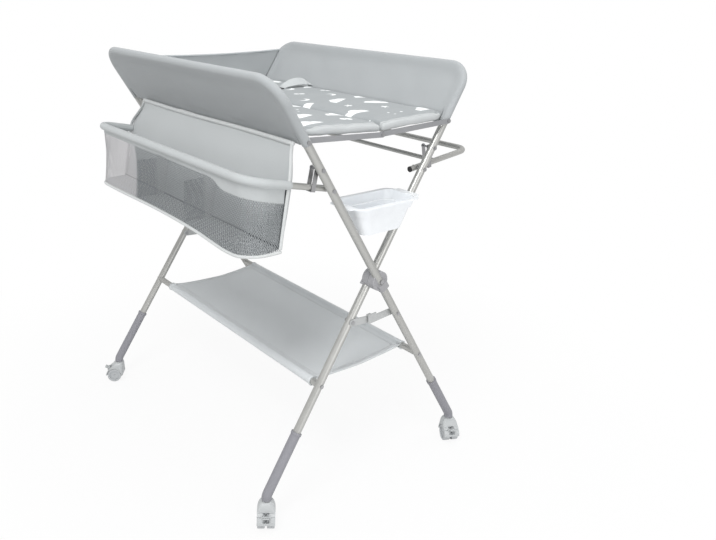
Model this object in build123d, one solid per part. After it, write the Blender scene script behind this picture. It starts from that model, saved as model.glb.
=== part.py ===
from build123d import *
import os
from math import acos, asin, atan, cos, degrees, radians, sin, sqrt

# Folding changing table: two crossed tube frames A and B, hinged at a hub near and far.
# X runs across the table (basket at -X, towel rack at +X), Y along it (open end at -Y), Z up.
# Side +1 is frame A, whose top leans to +X. Side -1 is frame B, its mirror image.
# The model is drawn about the hub's vertical line and moved at the end, so that its
# origin is the middle of the bottom of the whole box.

# General fits and overrun
RUN = 0.3
FIT = 0.05
SEAT = 0.05
CUT = 60.0

# Stance of the crossed frames
HUB_Z = 520.0
LEG_SLOPE = 0.643
FRAME_LENGTH = 771.0
PLANE_STEP = 28.0
FOLDED_HALF_ANGLE = 7.0
RAIL_Z = 872.0
BRACE_BELOW_HUB = 95.0
SHELF_Z = 291.0
GUARD_ABOVE_RAIL = 128.0

# Legs and guard hoops
LEG_OD = 19.0
LEG_WALL = 1.5
LEG_ABOVE_RAIL = 12.0
LEG_END_Z = 112.0
HOOP_WALL = 1.2
HOOP_PLUG = 40.0
HOOP_BEND = 60.0

# Foot sleeves
SLEEVE_OD = 23.0
SLEEVE_TOP_Z = 195.5
SLEEVE_LIP = 1.2
SLEEVE_LIP_HEIGHT = 6.0
FOOT_X = 290.0
FOOT_BOTTOM_Z = 61.0
FOOT_BEND = 20.0
STEM_DEPTH = 20.0

# Hub
HUB_DISC_R = 23.0
HUB_COVER = 5.5
HUB_EDGE = 2.0
SADDLE_LENGTH = 24.0
SADDLE_WIDTH = 27.0
SADDLE_RISE = 13.0
BOLT_R = 3.0
BOLT_HEAD_R = 5.5
BOLT_HEAD = 2.5

# Rivets
RIVET_R = 2.5
RIVET_HEAD_R = 4.8
RIVET_HEAD = 1.8
PIN_R = 3.0
PIN_CLEAR = 0.1

# Flat links in the gap between the frames
LINK_T = 3.0
TOP_RAIL_WIDTH = 12.0
TOP_RAIL_DIP = 10.0
BRACE_WIDTH = 17.0
BRACE_DIP = 4.0
STOP_REACH = 17.0
STOP_SPAN = 25.0
STOP_T = 2.5
STOP_CLEAR = 3.2
STOP_LIP = 11.0

# Shelf
SHELF_RAIL_OD = 16.0
SHELF_RAIL_WALL = 1.2
SHELF_BARE_END = 38.0
SHELF_CLOTH_T = 2.0
SHELF_SAG = 9.0
SHELF_HEM_T = 1.8
RAIL_SCREW_LENGTH = 12.0

# Guards, head wall and pad
GUARD_GAP = 14.0
GUARD_SLEEVE_R = 9.6
GUARD_THICKNESS = 4.0
GUARD_SLIT_RISE = 28.0
WALL_BELOW_GUARD = 18.0
WALL_SAG = 8.0
WALL_LIFT = 1.0
WALL_T = 3.0
WALL_STATION_SHARES = (0.0, 0.25, 0.5, 0.75, 1.0)
WALL_INSET_A = 9.0
WALL_INSET_B = 6.0
PAD_OVERHANG = 5.5
PAD_INSET = 0.336
PAD_LIFT = 0.3
PAD_EDGE_T = 16.0
PAD_CROWN = 4.0
PAD_CORNER_R = 46.0
PAD_EDGE_R = 5.0
PAD_GAP = 1.8

# Belt
BELT_Y = 140.0
BELT_WIDTH = 25.0
BELT_T = 1.6
BELT_END_INSET = 14.0
BELT_LIFT = 0.4
BELT_STATION_SHARES = (1.0, 0.75, 0.5, 0.25, 0.0)
BUCKLE_SHARE = 87 / 226
BUCKLE_LENGTH = 46.0
BUCKLE_WIDTH = 34.0
BUCKLE_T = 9.0
BUCKLE_EDGE = 2.0
BUCKLE_SPLIT = 4.0
PLUG_HEAD = 6.0
PLUG_END_T = 5.0
PRONG_LENGTH = 16.0
PRONG_WIDTH = 6.0
PRONG_T = 4.0

# Arms of the rack and of the basket, with their U straps
ARM_OD = 14.0
ARM_WALL = 1.2
ARM_OFFSET = 20.0
ARM_BELOW_RAIL = 112.0
STRAP_RIVET_RISE = 58.0
STRAP_REACH = 40.0
STRAP_WIDTH = 11.0
STRAP_T = 1.5

# Towel rack
RACK_TILT = 7.0
RACK_PAST_PIVOT = 188.68
RACK_BEND = 28.0
RACK_STUB_NEAR = 20.0
RACK_STUB_FAR = 12.0
RACK_BAR_OD = 11.0
RACK_BAR_REACH = 68.0
PLUG_T = 2.0
PLUG_DEPTH = 8.0

# Basket
BASKET_TILT = 12.0
BASKET_PAST_PIVOT = 195.68
BASKET_BEND = 52.0
BASKET_STUB = 9.0
BASKET_DEPTH = 112.0
BASKET_RISE = 109.0
BASKET_TOP_OUT = 86.68
BASKET_FOOT_OUT = 116.68
BASKET_WALL = 2.0
BASKET_BACK_T = 3.0
BAND_DROP = 30.0
BAND_SLEEVE_R = 9.3
TOP_PIPING_R = 5.0
PIPING_R = 3.0
DIVIDER_SHARES = (0.36, 0.68)
DIVIDER_DROP = 42.0

# Storage bin
BIN_RIM_SHARE = 192 / 352
BIN_BOTTOM_SHARE = 122 / 352
BIN_STEP_SHARE = 170 / 352
BIN_TOP_CLEAR = 31.456
BIN_TOP_WIDTH = 96.0
BIN_BOTTOM_CLEAR = 13.446
BIN_BOTTOM_WIDTH = 74.0
BIN_STEP = 3.0
BIN_CORNER_R = 22.0
BIN_WALL = 2.2
BIN_RIM_T = 2.4
BIN_RIM_WIDTH = 8.0
BIN_EAR_WIDTH = 70.0
BIN_INSET = 9.5

# Casters
WHEEL_R = 20.0
WHEEL_WIDTH = 16.5
WHEEL_EDGE = 1.5
WHEEL_DISH = 3.0
WHEEL_DISH_R = 14.0
WEB_T = 5.0
CASTER_TRAIL = 12.0
HOOD_CLEAR = 1.3
HOOD_WALL = 2.6
HOOD_WIDTH = 41.0
HOOD_BOSS_R = 8.5
HOOD_BOSS_GAP = 0.4
STEM_R = 4.0
STEM_START_Z = 47.0
AXLE_R = 2.5
PEDAL_ANGLE = 42.0
PEDAL_BARREL_R = 2.6
PEDAL_PIN_R = 1.2
PEDAL_WIDTH = 14.0
PEDAL_LENGTH = 13.0
PEDAL_T = 2.4
PEDAL_RISE = 24.0
PEDAL_SLOT_CLEAR = 0.4
PEDAL_SLOT_ARC = 9.0
CASTER_YAWS = {"a_near": -127.0, "b_near": -118.0, "a_far": 143.0, "b_far": 60.0}

# Worked out from the sizes above
LEG_ANGLE = degrees(atan(LEG_SLOPE))
SIN = sin(radians(LEG_ANGLE))
COS = cos(radians(LEG_ANGLE))
LEG_R = LEG_OD / 2
HOOP_R = LEG_R - LEG_WALL - FIT
ARM_R = ARM_OD / 2
ENDS = {"near": -1, "far": 1}
SIDES = {"a": 1, "b": -1}
LINK_OFFSET = LEG_R + RUN + LINK_T / 2

# Heights that follow the rails and the hub
BRACE_Z = HUB_Z - BRACE_BELOW_HUB
LEG_TOP_Z = RAIL_Z + LEG_ABOVE_RAIL
GUARD_Z = RAIL_Z + GUARD_ABOVE_RAIL
GUARD_BOTTOM_Z = RAIL_Z + GUARD_GAP
WALL_TOP_Z = GUARD_Z - WALL_BELOW_GUARD
ARM_PIVOT_Z = RAIL_Z - ARM_BELOW_RAIL
ARM_PIVOT_X = LEG_SLOPE * (ARM_PIVOT_Z - HUB_Z)

# Pad, a little longer than the frame
PAD_LENGTH = FRAME_LENGTH + 2 * PAD_OVERHANG

# Rack and basket, set out from their arms' pivots
RACK_OUT_X = ARM_PIVOT_X + RACK_PAST_PIVOT
BASKET_OUT_X = ARM_PIVOT_X + BASKET_PAST_PIVOT
BASKET_TOP_X = ARM_PIVOT_X + BASKET_TOP_OUT
BASKET_FOOT_X = ARM_PIVOT_X + BASKET_FOOT_OUT
BASKET_TOP_Z = ARM_PIVOT_Z + BASKET_RISE
BASKET_BOTTOM_Z = ARM_PIVOT_Z - BASKET_DEPTH

# Bin, held in the V that the near legs make above the hub
BIN_RIM_Z = HUB_Z + BIN_RIM_SHARE * (RAIL_Z - HUB_Z)
BIN_BOTTOM_Z = HUB_Z + BIN_BOTTOM_SHARE * (RAIL_Z - HUB_Z)
BIN_STEP_Z = HUB_Z + BIN_STEP_SHARE * (RAIL_Z - HUB_Z)
BIN_TOP_LENGTH = 2 * (LEG_SLOPE * (BIN_RIM_Z - HUB_Z) - BIN_TOP_CLEAR)
BIN_BOTTOM_LENGTH = 2 * (LEG_SLOPE * (BIN_BOTTOM_Z - HUB_Z) - BIN_BOTTOM_CLEAR)
BIN_Y = BIN_INSET - FRAME_LENGTH / 2


def leg_y(side, end):
    """Y of a leg's centre line."""
    return end * FRAME_LENGTH / 2 + side * PLANE_STEP / 2


def gap_y(end):
    """Y of the middle of the gap between the near pair or the far pair of legs."""
    return end * FRAME_LENGTH / 2


def up_leg(z):
    """Distance along a leg from the hub to height z."""
    return (z - HUB_Z) / COS


def leg_point(side, s, y, out=0.0):
    """Point s up the leg's line from the hub and out of the frame's plane, away from the top."""
    return Vector(side * (s * SIN + out * COS), y, HUB_Z + s * COS - out * SIN)


def leg_x(z):
    """Distance of a leg's line from the middle at height z."""
    return abs(z - HUB_Z) * LEG_SLOPE


def rod(start, finish, radius):
    """Round bar between two points."""
    line = finish - start
    return extrude(Plane(origin=start, z_dir=line) * Circle(radius), amount=line.length)


def y_rod(x, z, y0, y1, radius):
    """Round bar along Y."""
    return rod(Vector(x, min(y0, y1), z), Vector(x, max(y0, y1), z), radius)


def y_plate(x, z, sketch, y0, y1, turn=0.0):
    """Plate of a sketch in the X-Z plane at (x, z), turned anticlockwise, from y0 to y1."""
    across = Vector(cos(radians(turn)), 0, sin(radians(turn)))
    plane = Plane(origin=(x, max(y0, y1), z), x_dir=across, z_dir=(0, -1, 0))
    return extrude(plane * sketch, amount=abs(y1 - y0))


def bent_bar(points, bend, radius, bore=0.0):
    """Round bar or tube along straight runs with filleted turns."""
    path = FilletPolyline(*points, radius=bend)
    profile = Circle(radius) - Circle(bore) if bore else Circle(radius)
    return sweep(Plane(origin=path @ 0, z_dir=path % 0) * profile, path=path)


# Frames

def leg(side, end):
    """Straight leg tube with its cross holes."""
    y = leg_y(side, end)
    low = leg_point(side, up_leg(LEG_END_Z), y)
    top = leg_point(side, up_leg(LEG_TOP_Z), y)
    tube = rod(low, top, LEG_R) - rod(low, top, LEG_R - LEG_WALL)
    bolt = BOLT_R + (FIT if side > 0 else PIN_CLEAR)
    tube -= y_rod(0, HUB_Z, y - LEG_OD, y + LEG_OD, bolt)
    for z, radius in cross_holes():
        point = leg_point(side, up_leg(z), y)
        tube -= y_rod(point.X, point.Z, y - LEG_OD, y + LEG_OD, radius + FIT)
    return tube


def strap_rivet_z():
    """Height of the upper rivet that a U strap hangs from."""
    return ARM_PIVOT_Z + STRAP_RIVET_RISE * COS


def cross_holes():
    """Heights and radii of the rivet holes that every leg has."""
    return [(RAIL_Z, PIN_R), (BRACE_Z, PIN_R), (SHELF_Z, RIVET_R),
            (ARM_PIVOT_Z, RIVET_R), (strap_rivet_z(), RIVET_R)]


def hoop_points(side, start):
    """Corners of the guard hoop's centre line, from distance start up the near leg."""
    near, far = leg_y(side, -1), leg_y(side, 1)
    top = up_leg(GUARD_Z)
    return [leg_point(side, start, near), leg_point(side, top, near),
            leg_point(side, top, far), leg_point(side, start, far)]


def guard_hoop(side):
    """Bent tube plugged into the tops of both legs of a frame."""
    start = up_leg(LEG_TOP_Z) - HOOP_PLUG
    hoop = bent_bar(hoop_points(side, start), HOOP_BEND, HOOP_R, HOOP_R - HOOP_WALL)
    for end in ENDS.values():
        y, x = leg_y(side, end), side * leg_x(RAIL_Z)
        hoop -= y_rod(x, RAIL_Z, y - LEG_OD, y + LEG_OD, PIN_R + FIT)
    return hoop


def guard_panel(side):
    """Fabric guard: a round sleeve on the hoop with a taut double layer across it."""
    low = up_leg(GUARD_BOTTOM_Z)
    sleeve = bent_bar(hoop_points(side, low), HOOP_BEND, GUARD_SLEEVE_R)
    near, far, top = leg_y(side, -1), leg_y(side, 1), up_leg(GUARD_Z)
    plane = Plane(origin=(0, 0, HUB_Z), x_dir=(0, side, 0), z_dir=(side * COS, 0, -SIN))
    edge = FilletPolyline((side * near, low), (side * near, top), (side * far, top),
                          (side * far, low), radius=HOOP_BEND)
    outline = make_face(edge + Line(edge @ 1, edge @ 0))
    slit_width = 2 * (LINK_OFFSET + LINK_T / 2 + RUN)
    slit_height = 2 * (up_leg(RAIL_Z) + GUARD_SLIT_RISE - low)
    for y in (near, far):
        outline -= Pos(side * y, low) * Rectangle(slit_width, slit_height)
    sheet = extrude(plane * outline, amount=GUARD_THICKNESS / 2, both=True)
    hoop = bent_bar(hoop_points(side, low - HOOP_PLUG), HOOP_BEND, HOOP_R + FIT)
    return sleeve + sheet - hoop


def shelf_rail(side):
    """Tube between the two legs of a frame, coped to them."""
    x, near, far = -side * leg_x(SHELF_Z), leg_y(side, -1), leg_y(side, 1)
    rail = y_rod(x, SHELF_Z, near, far, SHELF_RAIL_OD / 2)
    rail -= y_rod(x, SHELF_Z, near - CUT, far + CUT, SHELF_RAIL_OD / 2 - SHELF_RAIL_WALL)
    for y in (near, far):
        rail -= rod(leg_point(side, up_leg(SLEEVE_TOP_Z), y), leg_point(side, 0, y), LEG_R + SEAT)
    return rail


def knee_z():
    """Height where the leg's line meets the upright line of the foot."""
    return HUB_Z - FOOT_X / LEG_SLOPE


def foot_sleeve(side, end):
    """Plastic foot: sleeve on the leg, bent upright over the caster's stem."""
    y, x = leg_y(side, end), -side * FOOT_X
    top = leg_point(side, up_leg(SLEEVE_TOP_Z), y)
    body = bent_bar([top, Vector(x, y, knee_z()), Vector(x, y, FOOT_BOTTOM_Z)],
                    FOOT_BEND, SLEEVE_OD / 2)
    lip_low = leg_point(side, up_leg(SLEEVE_TOP_Z) - SLEEVE_LIP_HEIGHT, y)
    body += rod(lip_low, top, SLEEVE_OD / 2 + SLEEVE_LIP)
    body -= rod(leg_point(side, up_leg(LEG_END_Z), y),
                leg_point(side, up_leg(SLEEVE_TOP_Z) + CUT, y), LEG_R + FIT)
    socket_low = Vector(x, y, FOOT_BOTTOM_Z - STEM_DEPTH)
    body -= rod(socket_low, Vector(x, y, FOOT_BOTTOM_Z + STEM_DEPTH), STEM_R + FIT)
    return body


def hub_half(side, end):
    """Round half of the hub, grooved for its leg, with a saddle over the leg's lower part."""
    y, inner = leg_y(side, end), gap_y(end) + side * RUN / 2
    outer = y + side * HUB_COVER
    disc = y_rod(0, HUB_Z, inner, outer, HUB_DISC_R)
    disc = chamfer(disc.edges().filter_by(GeomType.CIRCLE), HUB_EDGE / 2)
    foot, crest = leg_point(side, -SADDLE_LENGTH, y), leg_point(side, -BOLT_HEAD_R - RUN, y)
    saddle_line = crest - foot
    plane = Plane(origin=foot, x_dir=(0, side, 0), z_dir=saddle_line)
    block = Pos(SADDLE_RISE / 2, 0) * Rectangle(SADDLE_RISE, SADDLE_WIDTH)
    block = fillet(block.vertices().sort_by(Axis.X)[-2:], HUB_COVER)
    disc += extrude(plane * block, amount=saddle_line.length)
    disc -= rod(leg_point(side, -CUT, y), leg_point(side, CUT, y), LEG_R + FIT)
    bolt = BOLT_R + (FIT if side > 0 else PIN_CLEAR)
    return disc - y_rod(0, HUB_Z, y - CUT, y + CUT, bolt)


def hub_bolt(end):
    """Pivot bolt through both legs and the hub."""
    y_b, y_a = leg_y(-1, end) - LEG_R - RUN, leg_y(1, end) + LEG_R + SEAT
    bolt = y_rod(0, HUB_Z, y_b, y_a, BOLT_R)
    bolt += y_rod(0, HUB_Z, y_b - BOLT_HEAD, y_b, BOLT_HEAD_R)
    return bolt + y_rod(0, HUB_Z, y_a, y_a + BOLT_HEAD, BOLT_HEAD_R)


# Rivets of a frame

def head(x, z, y, toward):
    """Rivet head whose flat face is at y, standing toward +Y or -Y."""
    return y_rod(x, z, y, y + toward * RIVET_HEAD, RIVET_HEAD_R)


def link_rivet(side, end, z):
    """Rivet through the leg that a flat link turns on."""
    y, gap = leg_y(side, end), -side
    point = leg_point(side, up_leg(z), y)
    tail = y + gap * (LINK_OFFSET + LINK_T / 2 + SEAT)
    start = y - gap * (LEG_R + SEAT)
    rivet = y_rod(point.X, point.Z, start, tail, PIN_R)
    return rivet + head(point.X, point.Z, start, -gap) + head(point.X, point.Z, tail, gap)


def shelf_screw(side, end):
    """Screw through the leg into the end of the shelf rail."""
    y, x = leg_y(side, end), -side * leg_x(SHELF_Z)
    start = y + end * (LEG_R + SEAT)
    screw = y_rod(x, SHELF_Z, start, y - end * (LEG_R + RAIL_SCREW_LENGTH), RIVET_R)
    return screw + head(x, SHELF_Z, start, end)


def arm_rivet(side, end):
    """Lower rivet that an arm turns on, with its spacer beside the leg."""
    y, inward = leg_y(side, end), -end
    point = leg_point(side, up_leg(ARM_PIVOT_Z), y)
    start, tail = y - inward * (LEG_R + SEAT), y + inward * (ARM_OFFSET + ARM_R + RUN)
    rivet = y_rod(point.X, point.Z, start, tail, RIVET_R) + head(point.X, point.Z, start, -inward)
    rivet += y_rod(point.X, point.Z, y + inward * (LEG_R + SEAT),
                   y + inward * (ARM_OFFSET - ARM_R - RUN), RIVET_HEAD_R)
    return rivet + head(point.X, point.Z, tail, inward)


def strap_faces():
    """Distances from the leg's centre to the four faces of a U strap's two plates."""
    inner, outer = ARM_OFFSET - ARM_R - RUN, ARM_OFFSET + ARM_R + RUN
    return inner - STRAP_T, inner, outer, outer + STRAP_T


def strap_rivet(side, end):
    """Upper rivet that a U strap hangs from, with its spacer beside the leg."""
    y, inward = leg_y(side, end), -end
    point = leg_point(side, up_leg(strap_rivet_z()), y)
    near_face, far_face = strap_faces()[0], strap_faces()[3]
    start, tail = y - inward * (LEG_R + SEAT), y + inward * (far_face + SEAT)
    rivet = y_rod(point.X, point.Z, start, tail, RIVET_R) + head(point.X, point.Z, start, -inward)
    rivet += y_rod(point.X, point.Z, y + inward * (LEG_R + SEAT),
                   y + inward * (near_face - SEAT), RIVET_HEAD_R)
    return rivet + head(point.X, point.Z, tail, inward)


def rivets(side):
    """All the rivets and screws that one frame carries."""
    fasteners = []
    for end in ENDS.values():
        fasteners += [link_rivet(side, end, RAIL_Z), link_rivet(side, end, BRACE_Z),
                      shelf_screw(side, end), arm_rivet(side, end), strap_rivet(side, end)]
    return fasteners


# Arms and U straps

def arm_point(side, end, reach, tilt):
    """Point on an arm's centre line at a distance outward from its rivet."""
    y = leg_y(side, end) - end * ARM_OFFSET
    pivot = leg_point(side, up_leg(ARM_PIVOT_Z), y)
    run, rise = reach * cos(radians(tilt)), reach * sin(radians(tilt))
    return Vector(pivot.X + side * run, y, pivot.Z + rise)


def arm_reach(out_x, tilt):
    """Length of an arm from its rivet to the outer bar."""
    return (out_x - leg_x(ARM_PIVOT_Z)) / cos(radians(tilt))


def u_strap(side, end, tilt):
    """Strip bent into a U under the arm, both ends on the upper rivet."""
    y, inward = leg_y(side, end), -end
    top = leg_point(side, up_leg(strap_rivet_z()), y)
    low = arm_point(side, end, STRAP_REACH, tilt)
    hang = sqrt((low.X - top.X) ** 2 + (low.Z - top.Z) ** 2)
    slant = degrees(atan((low.X - top.X) / (top.Z - low.Z)))
    lean = radians(abs(slant) - tilt)
    slack = STRAP_WIDTH / 2 * abs(sin(lean)) / cos(lean) + ARM_R / cos(lean)
    turn = slant - 90
    faces = strap_faces()
    length = hang + slack + RUN + STRAP_T
    outline = Pos(length / 2, 0) * Rectangle(length, STRAP_WIDTH) + Circle(STRAP_WIDTH / 2)
    outline -= Circle(RIVET_R + FIT)
    strap = y_plate(top.X, top.Z, outline, y + inward * faces[0], y + inward * faces[3], turn)
    inside = Pos(length / 2 - STRAP_T - CUT / 2, 0) * Rectangle(length + CUT, STRAP_WIDTH + CUT)
    return strap - y_plate(top.X, top.Z, inside, y + inward * faces[1], y + inward * faces[2], turn)


def loop(side, out_x, tilt, bend, stubs):
    """Bent tube: two arms joined by the outer bar, with holes for the lower rivets."""
    reach = arm_reach(out_x, tilt)
    points = [arm_point(side, -1, -stubs[0], tilt), arm_point(side, -1, reach, tilt),
              arm_point(side, 1, reach, tilt), arm_point(side, 1, -stubs[1], tilt)]
    tube = bent_bar(points, bend, ARM_R, ARM_R - ARM_WALL)
    for end in ENDS.values():
        pivot = arm_point(side, end, 0, tilt)
        tube -= y_rod(pivot.X, pivot.Z, pivot.Y - ARM_OD, pivot.Y + ARM_OD, RIVET_R + PIN_CLEAR)
    return tube


def rack_bar():
    """Second bar of the towel rack, coped to both arms."""
    near = arm_point(1, -1, RACK_BAR_REACH, RACK_TILT)
    far = arm_point(1, 1, RACK_BAR_REACH, RACK_TILT)
    bar = rod(near, far, RACK_BAR_OD / 2)
    for end in ENDS.values():
        bar -= rod(arm_point(1, end, 0, RACK_TILT),
                   arm_point(1, end, RACK_BAR_REACH + CUT, RACK_TILT), ARM_R + SEAT)
    return bar


def rack_plug(end, stub):
    """Plastic plug in the open end of an arm."""
    tip = arm_point(1, end, -stub, RACK_TILT)
    inside = arm_point(1, end, -stub + PLUG_DEPTH, RACK_TILT)
    face = arm_point(1, end, -stub - PLUG_T, RACK_TILT)
    seat = arm_point(1, end, -stub - SEAT, RACK_TILT)
    return rod(face, seat, ARM_R) + rod(tip, inside, ARM_R - ARM_WALL - FIT) + rod(seat, tip, AXLE_R)


# Basket

def basket_line(z):
    """Distance of the basket's back wall from the middle at height z."""
    share = (BASKET_TOP_Z - z) / (BASKET_TOP_Z - BASKET_BOTTOM_Z)
    return BASKET_TOP_X + share * (BASKET_FOOT_X - BASKET_TOP_X)


def rim_cut(drop):
    """Space above a plane that lies below the loop's centre plane by drop."""
    pivot = arm_point(-1, -1, 0, BASKET_TILT)
    lean = Vector(-sin(radians(BASKET_TILT)) * -1, 0, cos(radians(BASKET_TILT)))
    plane = Plane(origin=Vector(pivot.X, 0, pivot.Z) - lean * drop, z_dir=lean)
    return extrude(plane * Rectangle(2 * FRAME_LENGTH, 2 * FRAME_LENGTH), amount=FRAME_LENGTH)


def back_cut(behind=0.0):
    """Space on the table's side of the basket's back wall."""
    y = FRAME_LENGTH
    low_z, high_z = BASKET_BOTTOM_Z - CUT, BASKET_TOP_Z + CUT
    outline = Polygon((-basket_line(low_z) - behind, low_z), (0, low_z), (0, high_z),
                      (-basket_line(high_z) - behind, high_z), align=None)
    return y_plate(0, 0, outline, -y, y)


def basket_path(inset, z, end_x=0.0):
    """U-shaped line of the basket's walls seen from above."""
    near = leg_y(-1, -1) + ARM_OFFSET + inset
    far = leg_y(-1, 1) - ARM_OFFSET - inset
    x = -BASKET_OUT_X + inset
    return FilletPolyline((end_x, near, z), (x, near, z), (x, far, z), (end_x, far, z),
                          radius=BASKET_BEND - inset)


def basket_prism(inset, low_z, high_z):
    """Upright block inside the basket's U-shaped line."""
    path = basket_path(inset, low_z)
    return extrude(make_face(path + Line(path @ 1, path @ 0)), amount=high_z - low_z, dir=(0, 0, 1))


def basket_tub(floor_t):
    """Open fabric tub below the loop: outer wall, end walls and floor."""
    half = BASKET_WALL / 2
    tub = basket_prism(-half, BASKET_BOTTOM_Z, BASKET_TOP_Z)
    tub -= basket_prism(half, BASKET_BOTTOM_Z + floor_t, BASKET_TOP_Z + CUT)
    return tub - back_cut(SEAT)


def basket_mesh():
    """Mesh walls and floor, up to the band."""
    return basket_tub(BASKET_WALL) - rim_cut(ARM_R + BAND_DROP)


def basket_band():
    """Fabric band: a sleeve round the loop and the strip that hangs from it."""
    strip = basket_tub(BASKET_WALL) - rim_cut(ARM_R + RUN)
    strip &= rim_cut(ARM_R + BAND_DROP)
    start = arm_reach(BASKET_TOP_X + 2 * TOP_PIPING_R, BASKET_TILT)
    reach = arm_reach(BASKET_OUT_X, BASKET_TILT)
    points = [arm_point(-1, -1, start, BASKET_TILT), arm_point(-1, -1, reach, BASKET_TILT),
              arm_point(-1, 1, reach, BASKET_TILT), arm_point(-1, 1, start, BASKET_TILT)]
    sleeve = bent_bar(points, BASKET_BEND, BAND_SLEEVE_R)
    core = bent_bar([arm_point(-1, -1, 0, BASKET_TILT)] + points[1:3]
                    + [arm_point(-1, 1, 0, BASKET_TILT)], BASKET_BEND, ARM_R + FIT)
    return (sleeve + strip - back_cut(SEAT)) - core


def basket_back():
    """Fabric back wall with the piping along its top edge."""
    near, far = leg_y(-1, -1) + ARM_OFFSET, leg_y(-1, 1) - ARM_OFFSET
    low_x, top_x = -basket_line(BASKET_BOTTOM_Z), -basket_line(BASKET_TOP_Z)
    outline = Polygon((low_x, BASKET_BOTTOM_Z), (low_x + BASKET_BACK_T, BASKET_BOTTOM_Z),
                      (top_x + BASKET_BACK_T, BASKET_TOP_Z), (top_x, BASKET_TOP_Z), align=None)
    wall = y_plate(0, 0, outline, near, far)
    wall += y_rod(top_x + BASKET_BACK_T / 2, BASKET_TOP_Z, near, far, TOP_PIPING_R)
    for end in ENDS.values():
        arm = [arm_point(-1, end, -STRAP_REACH, BASKET_TILT),
               arm_point(-1, end, arm_reach(BASKET_OUT_X, BASKET_TILT), BASKET_TILT)]
        wall -= rod(arm[0], arm[1], BAND_SLEEVE_R + SEAT)
    return wall


def basket_dividers():
    """Two mesh sheets that part the basket into three."""
    near, far = leg_y(-1, -1) + ARM_OFFSET, leg_y(-1, 1) - ARM_OFFSET
    sheets = []
    for share in DIVIDER_SHARES:
        y = near + share * (far - near)
        room = basket_prism(BASKET_WALL / 2 + SEAT, BASKET_BOTTOM_Z + BASKET_WALL + SEAT, BASKET_TOP_Z)
        slab = Pos(-BASKET_OUT_X, y, BASKET_TOP_Z) * Box(FRAME_LENGTH, BASKET_WALL, FRAME_LENGTH)
        sheets.append((room & slab) - rim_cut(ARM_R + DIVIDER_DROP) - back_cut(SEAT))
    return sheets


def basket_piping():
    """Piping along the bottom edge of the basket."""
    path = basket_path(0.0, BASKET_BOTTOM_Z - PIPING_R - SEAT, -basket_line(BASKET_BOTTOM_Z))
    return sweep(Plane(origin=path @ 0, z_dir=path % 0) * Circle(PIPING_R), path=path)


# Folding top

RAIL_X = leg_x(RAIL_Z)
RAIL_TURN = degrees(atan(TOP_RAIL_DIP / RAIL_X))
RAIL_SPAN = sqrt(RAIL_X ** 2 + TOP_RAIL_DIP ** 2)
PAD_HALF_WIDTH = RAIL_X - PAD_INSET
BUCKLE_X = BUCKLE_SHARE * PAD_HALF_WIDTH


def link_y(side, end):
    """Y of the middle of a flat link that lies beside its own frame's leg."""
    return leg_y(side, end) - side * LINK_OFFSET


def link_outline(span, width):
    """Flat bar with round ends and a hole for its leg's rivet."""
    bar = Pos(span / 2, 0) * SlotCenterToCenter(span, width)
    return bar - Circle(PIN_R + PIN_CLEAR)


def top_rail(side, end):
    """Half of a folding rail, from the leg's pivot to the middle rivet."""
    y = link_y(side, end)
    outline = link_outline(RAIL_SPAN, TOP_RAIL_WIDTH)
    if side < 0:
        outline -= Pos(RAIL_SPAN, 0) * Circle(PIN_R + FIT)
    turn = 180 + RAIL_TURN if side > 0 else -RAIL_TURN
    return y_plate(side * RAIL_X, RAIL_Z, outline, y - LINK_T / 2, y + LINK_T / 2, turn)


def middle_pin(z, end):
    """Rivet fixed in frame B's link where the two flat links meet, up to the face of the other."""
    face = link_y(-1, end) - LINK_T / 2
    return y_rod(0, z, face, link_y(1, end) - LINK_T / 2 - RUN, PIN_R)


def top_pin(end):
    """Middle rivet of a top rail with its head on the outer face."""
    z, face = RAIL_Z - TOP_RAIL_DIP, link_y(-1, end) - LINK_T / 2 - SEAT
    return middle_pin(z, end) + y_rod(0, z, face, face + SEAT, PIN_R) + head(0, z, face, -1)


def rail_plane(side):
    """Plane whose x runs along the rails from the pivot to the middle and whose y is up."""
    turn = radians(RAIL_TURN)
    return Plane(origin=(side * RAIL_X, 0, RAIL_Z), x_dir=(-side * cos(turn), 0, -sin(turn)),
                 z_dir=(0, side, 0))


def pad_levels():
    """Heights of the pad above the rails' centre line: bottom, edge of the top, crown."""
    low = TOP_RAIL_WIDTH / 2 + PAD_LIFT
    return low, low + PAD_EDGE_T, low + PAD_EDGE_T + PAD_CROWN


def pad_half(side):
    """Half of the padded top with a low crown, lying on the rails."""
    low, edge, crown = pad_levels()
    start, finish = RAIL_X - PAD_HALF_WIDTH, RAIL_SPAN - PAD_GAP
    top = ThreePointArc((start, edge), ((start + finish) / 2, crown), (finish, edge))
    rest = Polyline((finish, edge), (finish, low), (start, low), (start, edge))
    pad = extrude(rail_plane(side) * make_face(top + rest), amount=PAD_LENGTH / 2, both=True)
    corners = pad.edges().filter_by(lambda e: abs(e.tangent_at(0.5).Z) > COS)
    pad = fillet(corners.sort_by(Axis.X)[-2:] if side > 0 else corners.sort_by(Axis.X)[:2],
                 PAD_CORNER_R)
    rim = pad.faces().sort_by(Axis.Z)[-1].edges()
    outer = rim.filter_by(lambda e: abs(e.center().X) > PAD_GAP * 2)
    return fillet(outer, PAD_EDGE_R)


def pad_top(side, reach, lift=0.0):
    """Point over the pad's crown at a distance from the middle fold line along the rails."""
    low, edge, crown = pad_levels()
    start, finish = RAIL_X - PAD_HALF_WIDTH, RAIL_SPAN - PAD_GAP
    u = RAIL_SPAN - reach
    share = (2 * u - start - finish) / (finish - start)
    v = edge + (crown - edge) * (1 - share ** 2) + lift
    point = rail_plane(side).from_local_coords(Vector(u, v, 0))
    return point.X, point.Z


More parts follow.
